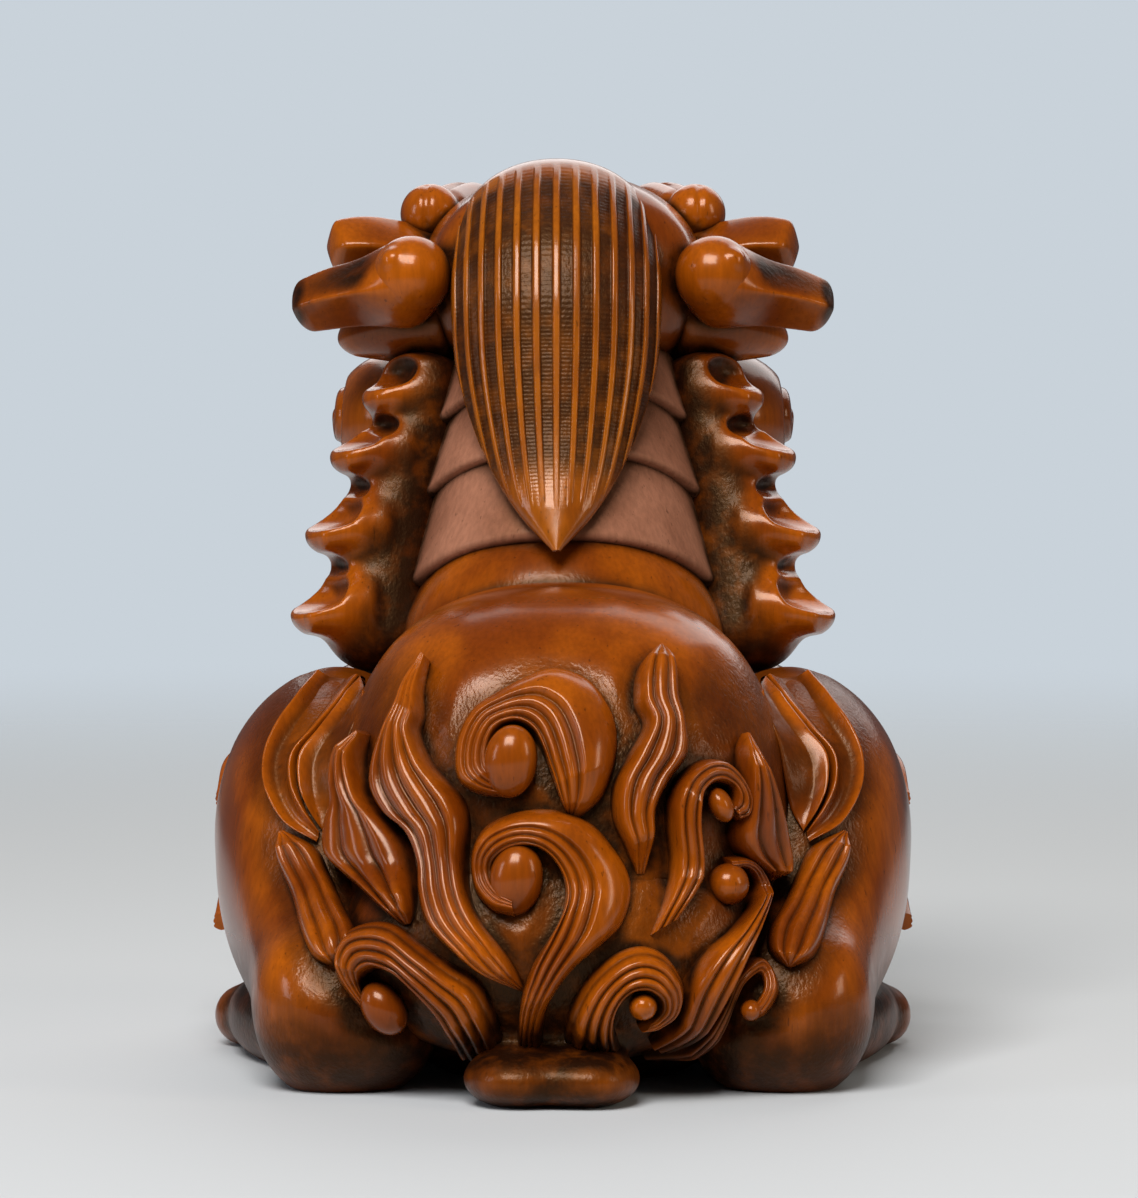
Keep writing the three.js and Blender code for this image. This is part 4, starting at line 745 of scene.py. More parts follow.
def fluted_lock():
    """Spans the outline between two edges drawn on the body, raises its crown, and sets the bead."""
    tree = bpy.data.node_groups.new("fluted_lock", "GeometryNodeTree")
    for name, kind in (
        ("Path", "Geometry"),
        ("Outline", "Object"),
        ("Ridge Half", "Float"),
        ("Bead Size", "Vector"),
        ("Bead Place", "Vector"),
        ("Bead Turn", "Vector"),
        ("Wood", "Material"),
    ):
        tree.interface.new_socket(name, in_out="INPUT", socket_type="NodeSocket" + kind)
    tree.interface.new_socket("Lock", in_out="OUTPUT", socket_type="NodeSocketGeometry")
    given = add(tree, "NodeGroupInput")
    field = {"Ridge Half": given["Ridge Half"]}
    for kind, keys in (
        ("FLOAT", ("across", "skew", "crown", "tall", "arc", "ridges", "groove", "depth")),
        ("FLOAT_VECTOR", ("inner", "outer", "seat_normal")),
    ):
        for key in keys:
            field[key] = add(tree, "GeometryNodeInputNamedAttribute", [key], data_type=kind)[0]
    for key, operation, *terms in (
        ("aside", "MULTIPLY", "arc", "ridges"),  # from the middle of a ridge, in ridges
        ("aside", "ADD", "aside", 0.5),
        ("aside", "FRACT", "aside"),
        ("aside", "SUBTRACT", "aside", 0.5),
        ("aside", "ABSOLUTE", "aside"),
        ("foot", "ADD", "Ridge Half", 0.1),
        ("above", "GREATER_THAN", "crown", 0.0),
        ("share", "POWER", "across", "skew"),
        ("raised", "MULTIPLY", "crown", "tall"),
        ("flute", "MULTIPLY", "groove", "depth"),
        ("rise", "SUBTRACT", "raised", "flute"),
    ):
        values = [field.get(term, term) for term in terms]
        field[key] = add(tree, "ShaderNodeMath", values, operation=operation)[0]
    path = add(tree, "GeometryNodeMeshToCurve", [given["Path"]])[0]
    outline = add(tree, "GeometryNodeObjectInfo", {"Object": given["Outline"]})["Geometry"]
    outline = add(tree, "GeometryNodeMeshToCurve", [outline])[0]
    sweep = {"Curve": path, "Profile Curve": outline, "Fill Caps": True}
    swept = add(tree, "GeometryNodeCurveToMesh", sweep)[0]

    # Ridges lie evenly round the crown, and what is between them is groove.
    limits = [field["aside"], given["Ridge Half"], field["foot"]]
    between = add(tree, "ShaderNodeMapRange", limits, interpolation_type="SMOOTHSTEP")[0]
    between = add(tree, "ShaderNodeMath", [between, field["above"]], operation="MULTIPLY")[0]
    groove = add(tree, "ShaderNodeMath", [field["groove"], between], operation="MAXIMUM")[0]
    kept = {"Geometry": swept, "Name": "groove", "Value": groove}
    swept = add(tree, "GeometryNodeStoreNamedAttribute", kept, data_type="FLOAT", domain="POINT")[0]

    # Each point is seated between the two edges and raised to its crown, less its flute.
    edges = {"Factor_Float": field["share"], "A_Vector": field["inner"], "B_Vector": field["outer"]}
    seat = add(tree, "ShaderNodeMix", edges, data_type="VECTOR")[1]
    lift = {"Vector": field["seat_normal"], "Scale": field["rise"]}
    offset = add(tree, "ShaderNodeVectorMath", lift, operation="SCALE")[0]
    lock = add(tree, "GeometryNodeSetPosition", {"Geometry": swept, "Position": seat, "Offset": offset})[0]

    # A bead of no size is left out.
    ball = add(tree, "GeometryNodeMeshUVSphere", {"Segments": 48, "Rings": 28, "Radius": 1.0})[0]
    settled = {
        "Geometry": ball,
        "Translation": given["Bead Place"],
        "Rotation": given["Bead Turn"],
        "Scale": given["Bead Size"],
    }
    bead = add(tree, "GeometryNodeTransform", settled)[0]
    size = add(tree, "ShaderNodeVectorMath", [given["Bead Size"]], operation="LENGTH")["Value"]
    wanted = add(tree, "FunctionNodeCompare", [size, 0.0])[0]
    bead = add(tree, "GeometryNodeSwitch", {"Switch": wanted, "True": bead}, input_type="GEOMETRY")[0]
    joined = add(tree, "GeometryNodeJoinGeometry", [lock])[0]
    tree.links.new(bead, joined.node.inputs[0])
    smooth = add(tree, "GeometryNodeSetShadeSmooth", [joined])[0]
    whole = add(tree, "GeometryNodeRealizeInstances", [smooth])[0]
    waxed = add(tree, "GeometryNodeSetMaterial", {"Geometry": whole, "Material": given["Wood"]})[0]
    add(tree, "NodeGroupOutput", {"Lock": waxed})
    return tree


lock_tree = fluted_lock()
NO_BEAD = {"Bead Size": (0, 0, 0), "Bead Place": (0, 0, 0), "Bead Turn": (0, 0, 0)}


def read(items, key):
    """A number, or three, of every vertex, triangle or normal of a mesh."""
    size = 1 if key == "value" else 3
    values = np.empty(len(items) * size, np.int32 if key == "vertices" else np.float32)
    items.foreach_get(key, values)
    return values.reshape(-1, size)


def sweep_lock(node, path, outline, bead=NO_BEAD, wood=polished, ridges=0.0, ridge_half=0.5):
    """Runs the tree on a path of edges, heights and directions, and keeps the plain mesh."""
    middles = (path["inner"] + path["outer"]) / 2
    steps = np.linalg.norm(np.diff(middles, axis=0), axis=1)
    values = {key: path[key] * MM for key in ("inner", "outer", "tall", "depth")}
    values |= {"seat_normal": path["normals"], "skew": path["skew"]}
    values["along"] = np.concatenate([[0], np.cumsum(steps)])
    values["ridges"] = np.zeros(len(middles)) + ridges
    wire = wire_object("path_" + node, middles * MM, values, False)
    sweep = wire.modifiers.new("lock", "NODES")
    sweep.node_group = lock_tree
    given = {"Outline": outline, "Wood": wood, "Ridge Half": ridge_half} | bead
    for socket in lock_tree.interface.items_tree:
        if socket.name in given:
            sweep[socket.identifier] = given[socket.name]
    depsgraph = bpy.context.evaluated_depsgraph_get()
    made = wire.evaluated_get(depsgraph)
    mesh = bpy.data.meshes.new_from_object(made, preserve_all_data_layers=True, depsgraph=depsgraph)
    wire.modifiers.clear()
    bpy.data.objects.remove(wire)
    mesh.name = "carved_" + node
    cut, stain = (read(mesh.attributes[key].data, "value").ravel() for key in ("depth", "groove"))
    full = max(path["depth"].max() * MM, 1e-6)
    mesh.attributes["groove"].data.foreach_set("value", stain * np.clip(1.5 * cut / full, 0, 1))
    for key in ("inner", "outer", "tall", "depth", "seat_normal", "skew", "across", "crown", "arc", "ridges"):
        if key in mesh.attributes:
            mesh.attributes.remove(mesh.attributes[key])
    spots = read(mesh.vertices, "co")
    spots[:, 2] = np.maximum(spots[:, 2], 0)
    mesh.vertices.foreach_set("co", spots.ravel())
    mesh.calc_loop_triangles()
    a, b, c = spots.astype(float)[read(mesh.loop_triangles, "vertices")].swapaxes(0, 1)
    if np.einsum("ij,ij->", a, np.cross(b, c)) < 0:
        mesh.flip_normals()
    place_piece(node, mesh)


def free_lock(middles, spread, normals, tall, depth):
    """The path of a lock that isn't laid on the body, from its middle line and half widths."""
    path = {"inner": middles - spread, "outer": middles + spread, "normals": normals}
    return path | {"tall": tall, "depth": depth, "skew": np.ones(len(middles))}


bed_points = np.concatenate([points for points, _ in bed_skins])
shifts = np.cumsum([0] + [len(points) for points, _ in bed_skins])
bed_faces = [face for (_, faces), shift in zip(bed_skins, shifts) for face in (faces + shift).tolist()]
bed = BVHTree.FromPolygons(bed_points.tolist(), bed_faces)


def landing(x, z):
    """Where a point drawn as seen from behind meets the body. One that misses is drawn inwards."""
    for inward in np.arange(1, 0.5, -0.03):
        hit = bed.ray_cast((x * inward, back - 50, middle + (z - middle) * inward), (0, 1, 0))[0]
        if hit is not None:
            return np.array(hit)
    return np.array([x, back, z])


def eased(values, reach=16):
    """Numbers along a line, each averaged with its neighbours."""
    window = np.hanning(2 * reach + 1)
    columns = np.pad(values, [(reach, reach)] + [(0, 0)] * (values.ndim - 1), mode="edge")
    return np.apply_along_axis(lambda c: np.convolve(c, window / window.sum(), "valid"), 0, columns)


def seated(inner, outer, height, flutes, tail=0.0, skew=(1, 1), count=130):
    """A lock's path from its two edges, drawn as [x, z] seen from behind and laid on the body."""
    edges = []
    for rail in (inner, outer):
        drawn = through(rail, count)
        depth = eased(eased(np.array([landing(x, z)[1] for x, z in drawn])))
        edges.append(np.stack([drawn[:, 0], depth, drawn[:, 1]], 1))
    middles = (edges[0] + edges[1]) / 2
    reach = 1.5
    normals = []
    for x, _, z in middles:
        level = landing(x + reach, z) - landing(x - reach, z)
        climb = landing(x, z + reach) - landing(x, z - reach)
        normals.append(unit(np.cross(level, climb)) * 0.6 + np.array([0, -0.4, 0]))
    width = np.linalg.norm(edges[1] - edges[0], axis=1)
    floor = tail * np.linspace(0, 1, count)
    dive = np.clip(0.35 + 5 * np.linspace(0, 1, count), 0, 1)  # the root of a lock lies low
    tall = height * dive * np.maximum(floor, np.minimum(1, width / 2.6) ** 0.8)
    shape = np.interp(np.linspace(0, 1, count), np.linspace(0, 1, len(skew)), skew)
    return {
        "inner": edges[0],
        "outer": edges[1],
        "normals": unit(eased(eased(np.array(normals)))),
        "tall": tall,
        "depth": np.minimum(0.7, 0.42 * width / flutes),
        "skew": shape,
    }


LOCK_HEIGHT = 2.3
flame_outline = outline_object("outline_flame", *fluted(4), 0.6)
slim_outline = outline_object("outline_slim", *fluted(3), 0.6)
curl_outline = outline_object("outline_curl", *fluted(3, 0.6, lean=0.85), 0.6)
reed_outline = outline_object("outline_reeds", *fluted(4, 0.9), 0.6)
FLAMES = {
    "tail_flame_left_long": (
        [[-3.0, 8.2], [-5.9, 9.5], [-7.9, 11.0], [-9.6, 12.6], [-10.2, 14.6], [-10.3, 16.9], [-11.2, 18.9],
         [-12.9, 20.2], [-13.8, 21.9], [-13.5, 23.8], [-12.5, 26.0], [-11.7, 27.5], [-11.2, 29.1],
         [-10.0, 31.2]],
        [[-2.6, 8.3], [-3.3, 9.8], [-4.3, 11.3], [-5.6, 12.9], [-6.4, 14.6], [-6.7, 16.9], [-6.6, 19.5],
         [-6.9, 21.2], [-7.9, 22.5], [-9.2, 23.8], [-10.2, 25.8], [-9.9, 27.1], [-10.0, 28.8],
         [-9.7, 31.0]],
    ),
    "tail_flame_left_low": (
        [[-11.3, 12.4], [-13.9, 14.1], [-15.9, 15.4], [-17.2, 17.0], [-17.1, 19.0], [-16.4, 20.7],
         [-16.2, 22.7], [-15.6, 24.3], [-14.4, 25.7]],
        [[-10.8, 12.7], [-10.3, 14.3], [-10.3, 16.3], [-10.9, 18.0], [-12.2, 19.7], [-13.6, 21.1],
         [-14.3, 23.2], [-14.2, 25.5]],
    ),
    "tail_flame_right_high": (
        [[5.1, 16.2], [4.3, 18.2], [3.5, 20.2], [3.5, 22.5], [4.5, 24.5], [5.6, 26.5], [5.0, 28.1],
         [5.3, 30.4], [6.8, 31.9]],
        [[5.8, 16.2], [6.4, 18.9], [6.6, 20.9], [7.6, 22.7], [8.9, 24.5], [8.7, 26.5], [8.3, 28.1],
         [8.1, 30.1], [7.2, 31.8]],
    ),
    "tail_flame_right": (
        [[14.9, 15.0], [13.5, 16.2], [12.3, 17.2], [11.8, 18.6], [12.1, 20.1], [12.5, 22.2], [12.5, 24.5],
         [12.9, 25.7]],
        [[15.2, 15.0], [15.9, 15.8], [16.1, 16.9], [15.9, 18.2], [15.5, 19.6], [14.7, 21.7], [13.8, 23.7],
         [13.2, 25.6]],
    ),
}
# Each curl has its inner edge, its outer edge, how its flutes crowd inwards, and its bead's middle,
# half sizes and turn in degrees.
CURLS = {
    "tail_curl_middle": (
        [[-3.3, 2.8], [-3.2, 5.4], [-2.9, 8.0], [-2.2, 10.0], [-1.2, 11.6], [-0.3, 13.1], [0.1, 14.5],
         [0.0, 15.9], [-0.6, 17.2], [-1.5, 18.0], [-2.5, 18.2], [-3.5, 17.9], [-4.3, 17.1], [-4.5, 16.2],
         [-4.3, 15.2], [-3.5, 14.4]],
        [[-1.1, 2.8], [-1.4, 5.4], [-0.8, 7.7], [0.7, 9.8], [2.6, 11.4], [4.1, 12.8], [4.8, 14.9],
         [4.5, 16.6], [3.5, 18.2], [2.0, 19.8], [-0.1, 20.7], [-2.1, 20.8], [-3.9, 20.4], [-5.5, 19.5],
         [-6.3, 18.0], [-6.4, 16.2], [-6.0, 14.7], [-4.9, 13.7], [-3.4, 13.4]],
        (1, 1.1, 1.7, 1.5, 1.0, 0.8, 0.8), (-3.3, 16.0), (1.9, 1.7, 2.6), 8,
    ),
    "tail_curl_upper": (
        [[0.3, 20.4], [-0.3, 21.7], [-0.9, 23.3], [-1.5, 24.8], [-2.1, 25.8], [-2.9, 26.3], [-3.7, 26.3],
         [-4.4, 25.8], [-4.7, 24.8], [-4.6, 23.8], [-4.2, 23.0], [-3.6, 22.5]],
        [[1.1, 20.1], [2.8, 21.7], [3.7, 24.1], [3.8, 26.4], [3.1, 28.2], [1.7, 29.8], [-0.6, 30.5],
         [-2.7, 29.8], [-4.7, 28.7], [-6.3, 27.6], [-7.3, 25.9], [-7.6, 24.1], [-7.3, 22.6], [-6.0, 21.8],
         [-4.5, 21.6], [-3.4, 21.8]],
        (1.8, 1.9, 1.5, 1.0, 0.8, 0.8), (-3.7, 24.2), (1.9, 1.7, 2.6), 8,
    ),
    "tail_curl_left_low": (
        [[-7.5, 3.1], [-8.3, 5.2], [-9.3, 6.8], [-10.4, 8.0], [-11.5, 8.9], [-12.7, 9.4], [-13.7, 9.0],
         [-14.2, 8.1], [-14.0, 7.1], [-12.9, 6.1]],
        [[-4.0, 3.2], [-4.6, 6.1], [-5.8, 8.7], [-7.8, 10.0], [-10.0, 11.4], [-11.9, 12.6], [-13.7, 12.6],
         [-15.3, 11.7], [-16.1, 9.8], [-15.8, 8.3], [-14.2, 6.3], [-12.7, 5.2], [-11.3, 4.9]],
        (1, 1, 0.9), (-12.7, 6.6), (1.5, 1.6, 2.05), -35,
    ),
    "tail_curl_right_low": (
        [[4.7, 3.0], [4.0, 4.3], [3.6, 5.6], [3.7, 6.9], [4.4, 7.9], [5.5, 8.3], [6.4, 7.9], [6.6, 7.1],
         [6.0, 6.4]],
        [[0.0, 3.1], [0.2, 5.9], [0.8, 7.7], [2.1, 9.6], [4.0, 11.0], [5.8, 11.3], [7.4, 10.4], [8.4, 8.5],
         [8.0, 6.7], [6.6, 5.7], [5.2, 5.7]],
        (1, 1, 0.9), (5.6, 7.2), (1.0, 1.3, 1.0), 0,
    ),
    "tail_curl_right_high": (
        [[8.2, 13.1], [9.6, 15.1], [9.8, 17.2], [9.6, 19.2], [9.6, 21.1], [10.0, 22.0], [10.7, 22.3],
         [11.4, 22.1], [11.6, 21.4], [11.4, 20.8]],
        [[6.1, 12.0], [7.1, 14.6], [7.5, 17.2], [7.3, 19.8], [7.4, 21.6], [8.2, 23.0], [9.7, 24.0],
         [11.2, 23.9], [12.4, 22.7], [13.0, 21.1], [12.8, 19.9], [12.1, 19.6]],
        (1, 1, 0.9), (11.2, 20.9), (0.85, 1.2, 1.3), -25,
    ),
    "tail_curl_right_middle": (
        [[6.1, 4.2], [7.7, 6.3], [8.5, 8.7], [10.1, 10.8], [11.8, 12.1], [13.0, 13.4], [13.3, 14.7],
         [13.1, 15.7], [12.4, 16.3], [11.4, 16.3]],
        [[7.6, 3.4], [9.8, 5.2], [11.7, 7.9], [12.8, 10.2], [13.6, 12.1], [14.1, 13.4], [14.3, 14.8],
         [13.9, 16.1], [12.8, 17.0], [11.3, 17.1]],
        (1, 1, 1), (11.75, 15.2), (1.5, 1.6, 1.5), 0,
    ),
    "tail_curl_right_foot": (
        [[5.9, 2.8], [8.8, 3.4], [10.9, 5.0], [12.0, 7.3], [12.6, 8.4], [13.4, 8.8], [14.0, 8.6],
         [14.2, 7.9], [13.8, 7.1], [13.2, 6.7]],
        [[5.6, 3.1], [8.0, 4.2], [9.8, 5.7], [11.2, 7.6], [11.8, 8.8], [13.0, 9.9], [14.1, 10.0],
         [15.1, 8.9], [15.3, 7.6], [14.3, 6.0], [13.3, 5.8]],
        (1, 1, 1), (13.3, 6.5), (0.75, 1.0, 0.75), 0,
    ),
}
paths = []
for node, (inner, outer) in FLAMES.items():
    broad = node == "tail_flame_left_long"
    paths.append(seated(inner, outer, LOCK_HEIGHT, 4 if broad else 3))
    sweep_lock(node, paths[-1], flame_outline if broad else slim_outline)
for node, (inner, outer, skew, bead, half, turn) in CURLS.items():
    if node in ("tail_curl_middle", "tail_curl_upper"):
        outline, reeds = curl_outline, 4
    elif node in ("tail_curl_left_low", "tail_curl_right_low"):
        outline, reeds = reed_outline, 4
    else:
        outline, reeds = slim_outline, 3
    paths.append(seated(inner, outer, LOCK_HEIGHT, reeds, 0.75, skew, 170))
    centre = landing(*bead) - np.array([0, LOCK_HEIGHT * 0.55, 0])
    ball = {
        "Bead Size": [c * MM for c in half],
        "Bead Place": [c * MM for c in centre],
        "Bead Turn": (0, np.radians(turn), 0),
    }
    sweep_lock(node, paths[-1], outline, ball)

# Locks on the legs
# A broad hollowed ribbon, a scooped leaf and a fluted tuft lie on each haunch, and flame tufts sweep back
# from the shoulder and the elbow. They stand a little proud, and the wood about them is left rough.
s = np.linspace(0, 1, 41)
edge = (1 - np.abs(2 * s - 1) ** 8) ** 0.5
hollow = edge * (0.2 + 0.8 * np.abs(2 * s - 1) ** 2)
scoop = edge * (0.2 + 0.8 * s**4)
worn_hollow = np.clip(1.2 - 1.6 * (2 * s - 1) ** 2, 0, 1)
scraped = np.clip((0.92 - s) / 0.25, 0, 1)
ribbon_outline = outline_object("outline_ribbon", s, hollow, worn_hollow, 0.9)
leaf_outline = outline_object("outline_leaf", s, scoop, scraped, 0.9)
tuft_outline = outline_object("outline_tuft", *fluted(3), 1.0)
RIBBON_CREST = [
    [15.3, 28.9], [16.3, 27.2], [17.9, 25.3], [19.4, 23.6], [19.5, 21.7], [18.8, 19.9], [17.7, 18.2]
]
THIGH_LOCKS = {
    "thigh_strip_outer": (
        RIBBON_CREST,
        [[18.6, 29.2], [19.9, 27.3], [21.2, 25.4], [21.9, 23.3], [21.7, 21.1], [20.3, 18.8], [17.9, 17.5]],
        ribbon_outline,
    ),
    "thigh_strip_inner": (
        [[14.9, 28.5], [15.4, 26.8], [16.0, 24.6], [16.3, 22.3], [16.7, 19.9], [17.5, 18.3]],
        [[x - 0.3, z] for x, z in RIBBON_CREST],
        leaf_outline,
    ),
    "thigh_tuft": (
        [[20.4, 18.3], [18.1, 17.2], [17.0, 15.5], [15.9, 13.5], [14.7, 11.9], [14.7, 10.4], [15.9, 9.4]],
        [[20.8, 18.1], [20.9, 16.2], [19.7, 13.8], [18.9, 11.8], [17.9, 10.1], [16.2, 9.3]],
        slim_outline,
    ),
}
STRIP_HEIGHT = 1.3
TUFT_REACH = 27.0
for word, side in SIDES:
    for name, (inner, outer, outline) in THIGH_LOCKS.items():
        rails = [[[side * x, z] for x, z in rail] for rail in (inner, outer)]
        paths.append(seated(*rails, STRIP_HEIGHT, 3))
        sweep_lock(f"{word}_{name}", paths[-1], outline)
    for name, drop, climb, y in (
        ("shoulder_tuft", 4.5, -2.5, shoulder[1] + 1.5),
        ("elbow_tuft", -5.5, -1.8, shoulder[1] - 1.0),
    ):
        surface, z = shoulder[0] + SHOULDER_WIDTH / 2, shoulder[2] + drop
        line = through(
            [
                [side * (surface - 2), y, z, 2.4],
                [side * (surface + TUFT_REACH) / 2, y - 4, z + climb * 0.3, 2.1],
                [side * (TUFT_REACH - 0.4), y - 9, z + climb, 0.7],
            ],
            70,
        )
        half = line[:, 3:]
        aside = unit(np.tile([side * 1.0, 0.15, 0.1], (len(line), 1)))
        spread = unit(np.cross(aside, np.gradient(line[:, :3], axis=0))) * half
        free = free_lock(line[:, :3], spread, aside, half[:, 0] * 0.75, half[:, 0] * 0.2)
        sweep_lock(f"{word}_{name}", free, tuft_outline)

# Ground about the locks
# The carver cut the wood down round every lock, so each stands in a rough hollow that fades out over
# the rump and the haunches and holds the dark stain.
GROUND_DEPTH, GROUND_REACH = 0.45, 2.8
GROUND_TOP = 28  # above this height the hollows fade
ROOT_FILLET = 3.2  # the tail's mass runs into the rump without a corner
faced = {"carved_torso": fan, "carved_tail_root": torso}
drawn = np.concatenate([(path["inner"] + path["outer"])[::3] / 2 for path in paths])[:, [0, 2]]
reach = np.concatenate([np.linalg.norm(path["outer"] - path["inner"], axis=1)[::3] / 2 for path in paths])
for piece in pieces:
    if piece.name not in (*faced, "carved_left_hind_leg", "carved_right_hind_leg"):
        continue
    spots, normals = read(piece.data.vertices, "co") / MM, read(piece.data.vertex_normals, "vector")
    if piece.name in faced:
        points, faces = faced[piece.name]
        tree = BVHTree.FromPolygons(points.tolist(), faces.tolist())
        for i in np.flatnonzero((spots[:, 1] < back + 12) & (spots[:, 2] > LIP_HEIGHT + 1)):
            away = tree.find_nearest(spots[i], ROOT_FILLET)[3]
            if away is not None:
                spots[i] += normals[i] * (1 - away / ROOT_FILLET) ** 2 * ROOT_FILLET / 4
    gaps = []
    for part in np.array_split(spots[:, [0, 2]], 60):
        gaps.append((np.linalg.norm(part[:, None] - drawn, axis=2) - reach).min(1))
    turned = np.clip(0.3 - normals[:, 1], 0, 0.3)
    near = np.clip(1 - np.concatenate(gaps) / GROUND_REACH, 0, 1) * turned / 0.3 * (spots[:, 1] < 0)
    fade = 1 - 0.7 * np.clip((spots[:, 2] - GROUND_TOP) / 4, 0, 1)
    near *= np.clip((spots[:, 2] - LIP_HEIGHT) / 1.5, 0, 1) * fade
    ground = near**2 * (3 - 2 * near)
    spots -= normals * (GROUND_DEPTH * ground)[:, None]
    spots[:, 2] = np.maximum(spots[:, 2], 0)
    piece.data.vertices.foreach_set("co", (spots * MM).astype(np.float32).ravel())
    keep(piece.data, "ground", ground)
    piece.data.update()

# Beard
# A short tapering lock of beard hangs from the chin, cut from the jaw's own wood and fluted like the tail.
# It is waxed, and its point stands clear of the breast.
BEARD_LENGTH = 10.0
chin_y = muzzle_front - 5.85
beard_z = jaw_z - JAW_HEIGHT * 0.3
line = through(
    [
        [0, chin_y + 0.4, beard_z + 1.4, 4.2],
        [0, chin_y, beard_z - 1, 4.7],
        [0, chin_y - BEARD_LENGTH * 0.2, beard_z - BEARD_LENGTH * 0.45, 4.2],
        [0, chin_y - BEARD_LENGTH * 0.62, beard_z - BEARD_LENGTH, 0.2],
    ],
    80,
)
spread = RIGHT * line[:, 3:]
forward = unit(np.tile([0, 1.0, -0.3], (len(line), 1)))
hang = free_lock(line[:, :3], spread, forward, line[:, 3] * 0.7, line[:, 3] * 0.1)
beard_outline = outline_object("outline_beard", *fluted(6, steep=2.4), 0.9)
sweep_lock("beard", hang, beard_outline)

# Mane lock
# One broad lock runs from the crown down the nape and ends in a smooth point over the collar.
# A toothed scraper left thin polished ridges between flat grooves, which hold the stain.
MANE_ASIDE, MANE_GROOVE = -0.5, 0.42
RIDGE_STEP, RIDGE_HALF = 1.55, 0.12  # at the widest place, in millimetres, and as a share of the step
# Stained boxwood has bright ridges, and dark grooves with the marks of the scraper's teeth.
stained = boxwood(
    "stained_boxwood", "#A85A0C", "#7E3A06", "#1C0A06",
    roughness=0.24, coat=0.6, tool_depth=0.12, groove_stain=0.92, tooth_depth=0.12,
)
s = np.linspace(0, 1, 241)
crown = (1 - np.abs(2 * s - 1) ** 2.1) ** 0.5
mane_outline = outline_object("outline_mane", s, crown, s * 0, 0.3, edge=0.03, count=9, power=0.3)
# Stations down the crest of the mane: depth, height, half width, and how far the crest stands over
# the edges.
line = through(
    [
        [21.0, 65.0, 1.0, 0.6], [18.0, 66.9, 3.6, 2.4], [13.0, 68.1, 5.9, 4.4], [5.0, 68.1, 7.4, 5.2],
        [-1.6, 63.6, 8.0, 5.0], [-4.6, 58.5, 8.1, 4.7], [-5.9, 53.0, 7.7, 4.4], [-7.2, 47.2, 5.9, 3.4],
        [-8.8, 42.0, 3.2, 1.9], [-10.0, 38.4, 0.3, 0.4],
    ],
    190,
)
crest = np.stack([line[:, 0] * 0 + MANE_ASIDE, line[:, 0], line[:, 1]], 1)
outward = unit(np.cross(np.gradient(crest, axis=0), RIGHT))
base = crest - outward * line[:, 3:]
along = np.linspace(0, 1, len(line))
fade = np.clip((0.9 - along) / 0.14, 0, 1) * np.clip((along - 0.34) / 0.06, 0, 1)
widest = line[:, 2].max()
ridges = 2.39 * line[:, 2] / (RIDGE_STEP * (0.45 + 0.55 * line[:, 2] / widest))
mane = free_lock(base, RIGHT * line[:, 2:3], outward, line[:, 3], MANE_GROOVE * fade)
sweep_lock("mane_lock", mane, mane_outline, NO_BEAD, stained, ridges, RIDGE_HALF)
for wire in outlines:
    bpy.data.objects.remove(wire)

# Painted shade, stain and wear
# Dark stain and painted shade gather wherever the carving is hollow or two masses meet, and high places are
# painted lighter as handling wear. The wood about each point is weighed over two distances, and the result is
# kept on the vertices.
CELL = 0.3
NEAR, FAR = 0.55, 1.7
EAR_LEAF, EAR_TIP = 13.5, 19.0  # how far out the ear's leaf starts, and its dark end
FEET_TOP, MANE_POINT_TOP = 13, 46  # below these heights the feet and the mane's point darken
low, high = (np.array(corner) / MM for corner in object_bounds())
low, high = low - 4, high + 4
size = np.ceil((high - low) / CELL).astype(int)
filled = np.zeros(size, bool)
spots = {}
for piece in pieces:
    mesh = piece.data
    mesh.calc_loop_triangles()
    local = (read(mesh.vertices, "co") / MM - low) / CELL
    spots[piece.name] = local
    filled |= distances(local, read(mesh.loop_triangles, "vertices"), size, 3) < 0
waves = np.fft.rfftn(filled.astype(np.float32))
axes = [np.fft.fftfreq(size[0]), np.fft.fftfreq(size[1]), np.fft.rfftfreq(size[2])]
square = sum(f**2 for f in np.meshgrid(*axes, indexing="ij", sparse=True))
hollows = []
for reach in (NEAR, FAR):
    blurred = np.fft.irfftn(waves * np.exp(-2 * (np.pi * reach / CELL) ** 2 * square), s=tuple(size))
    hollows.append(blurred.astype(np.float32))
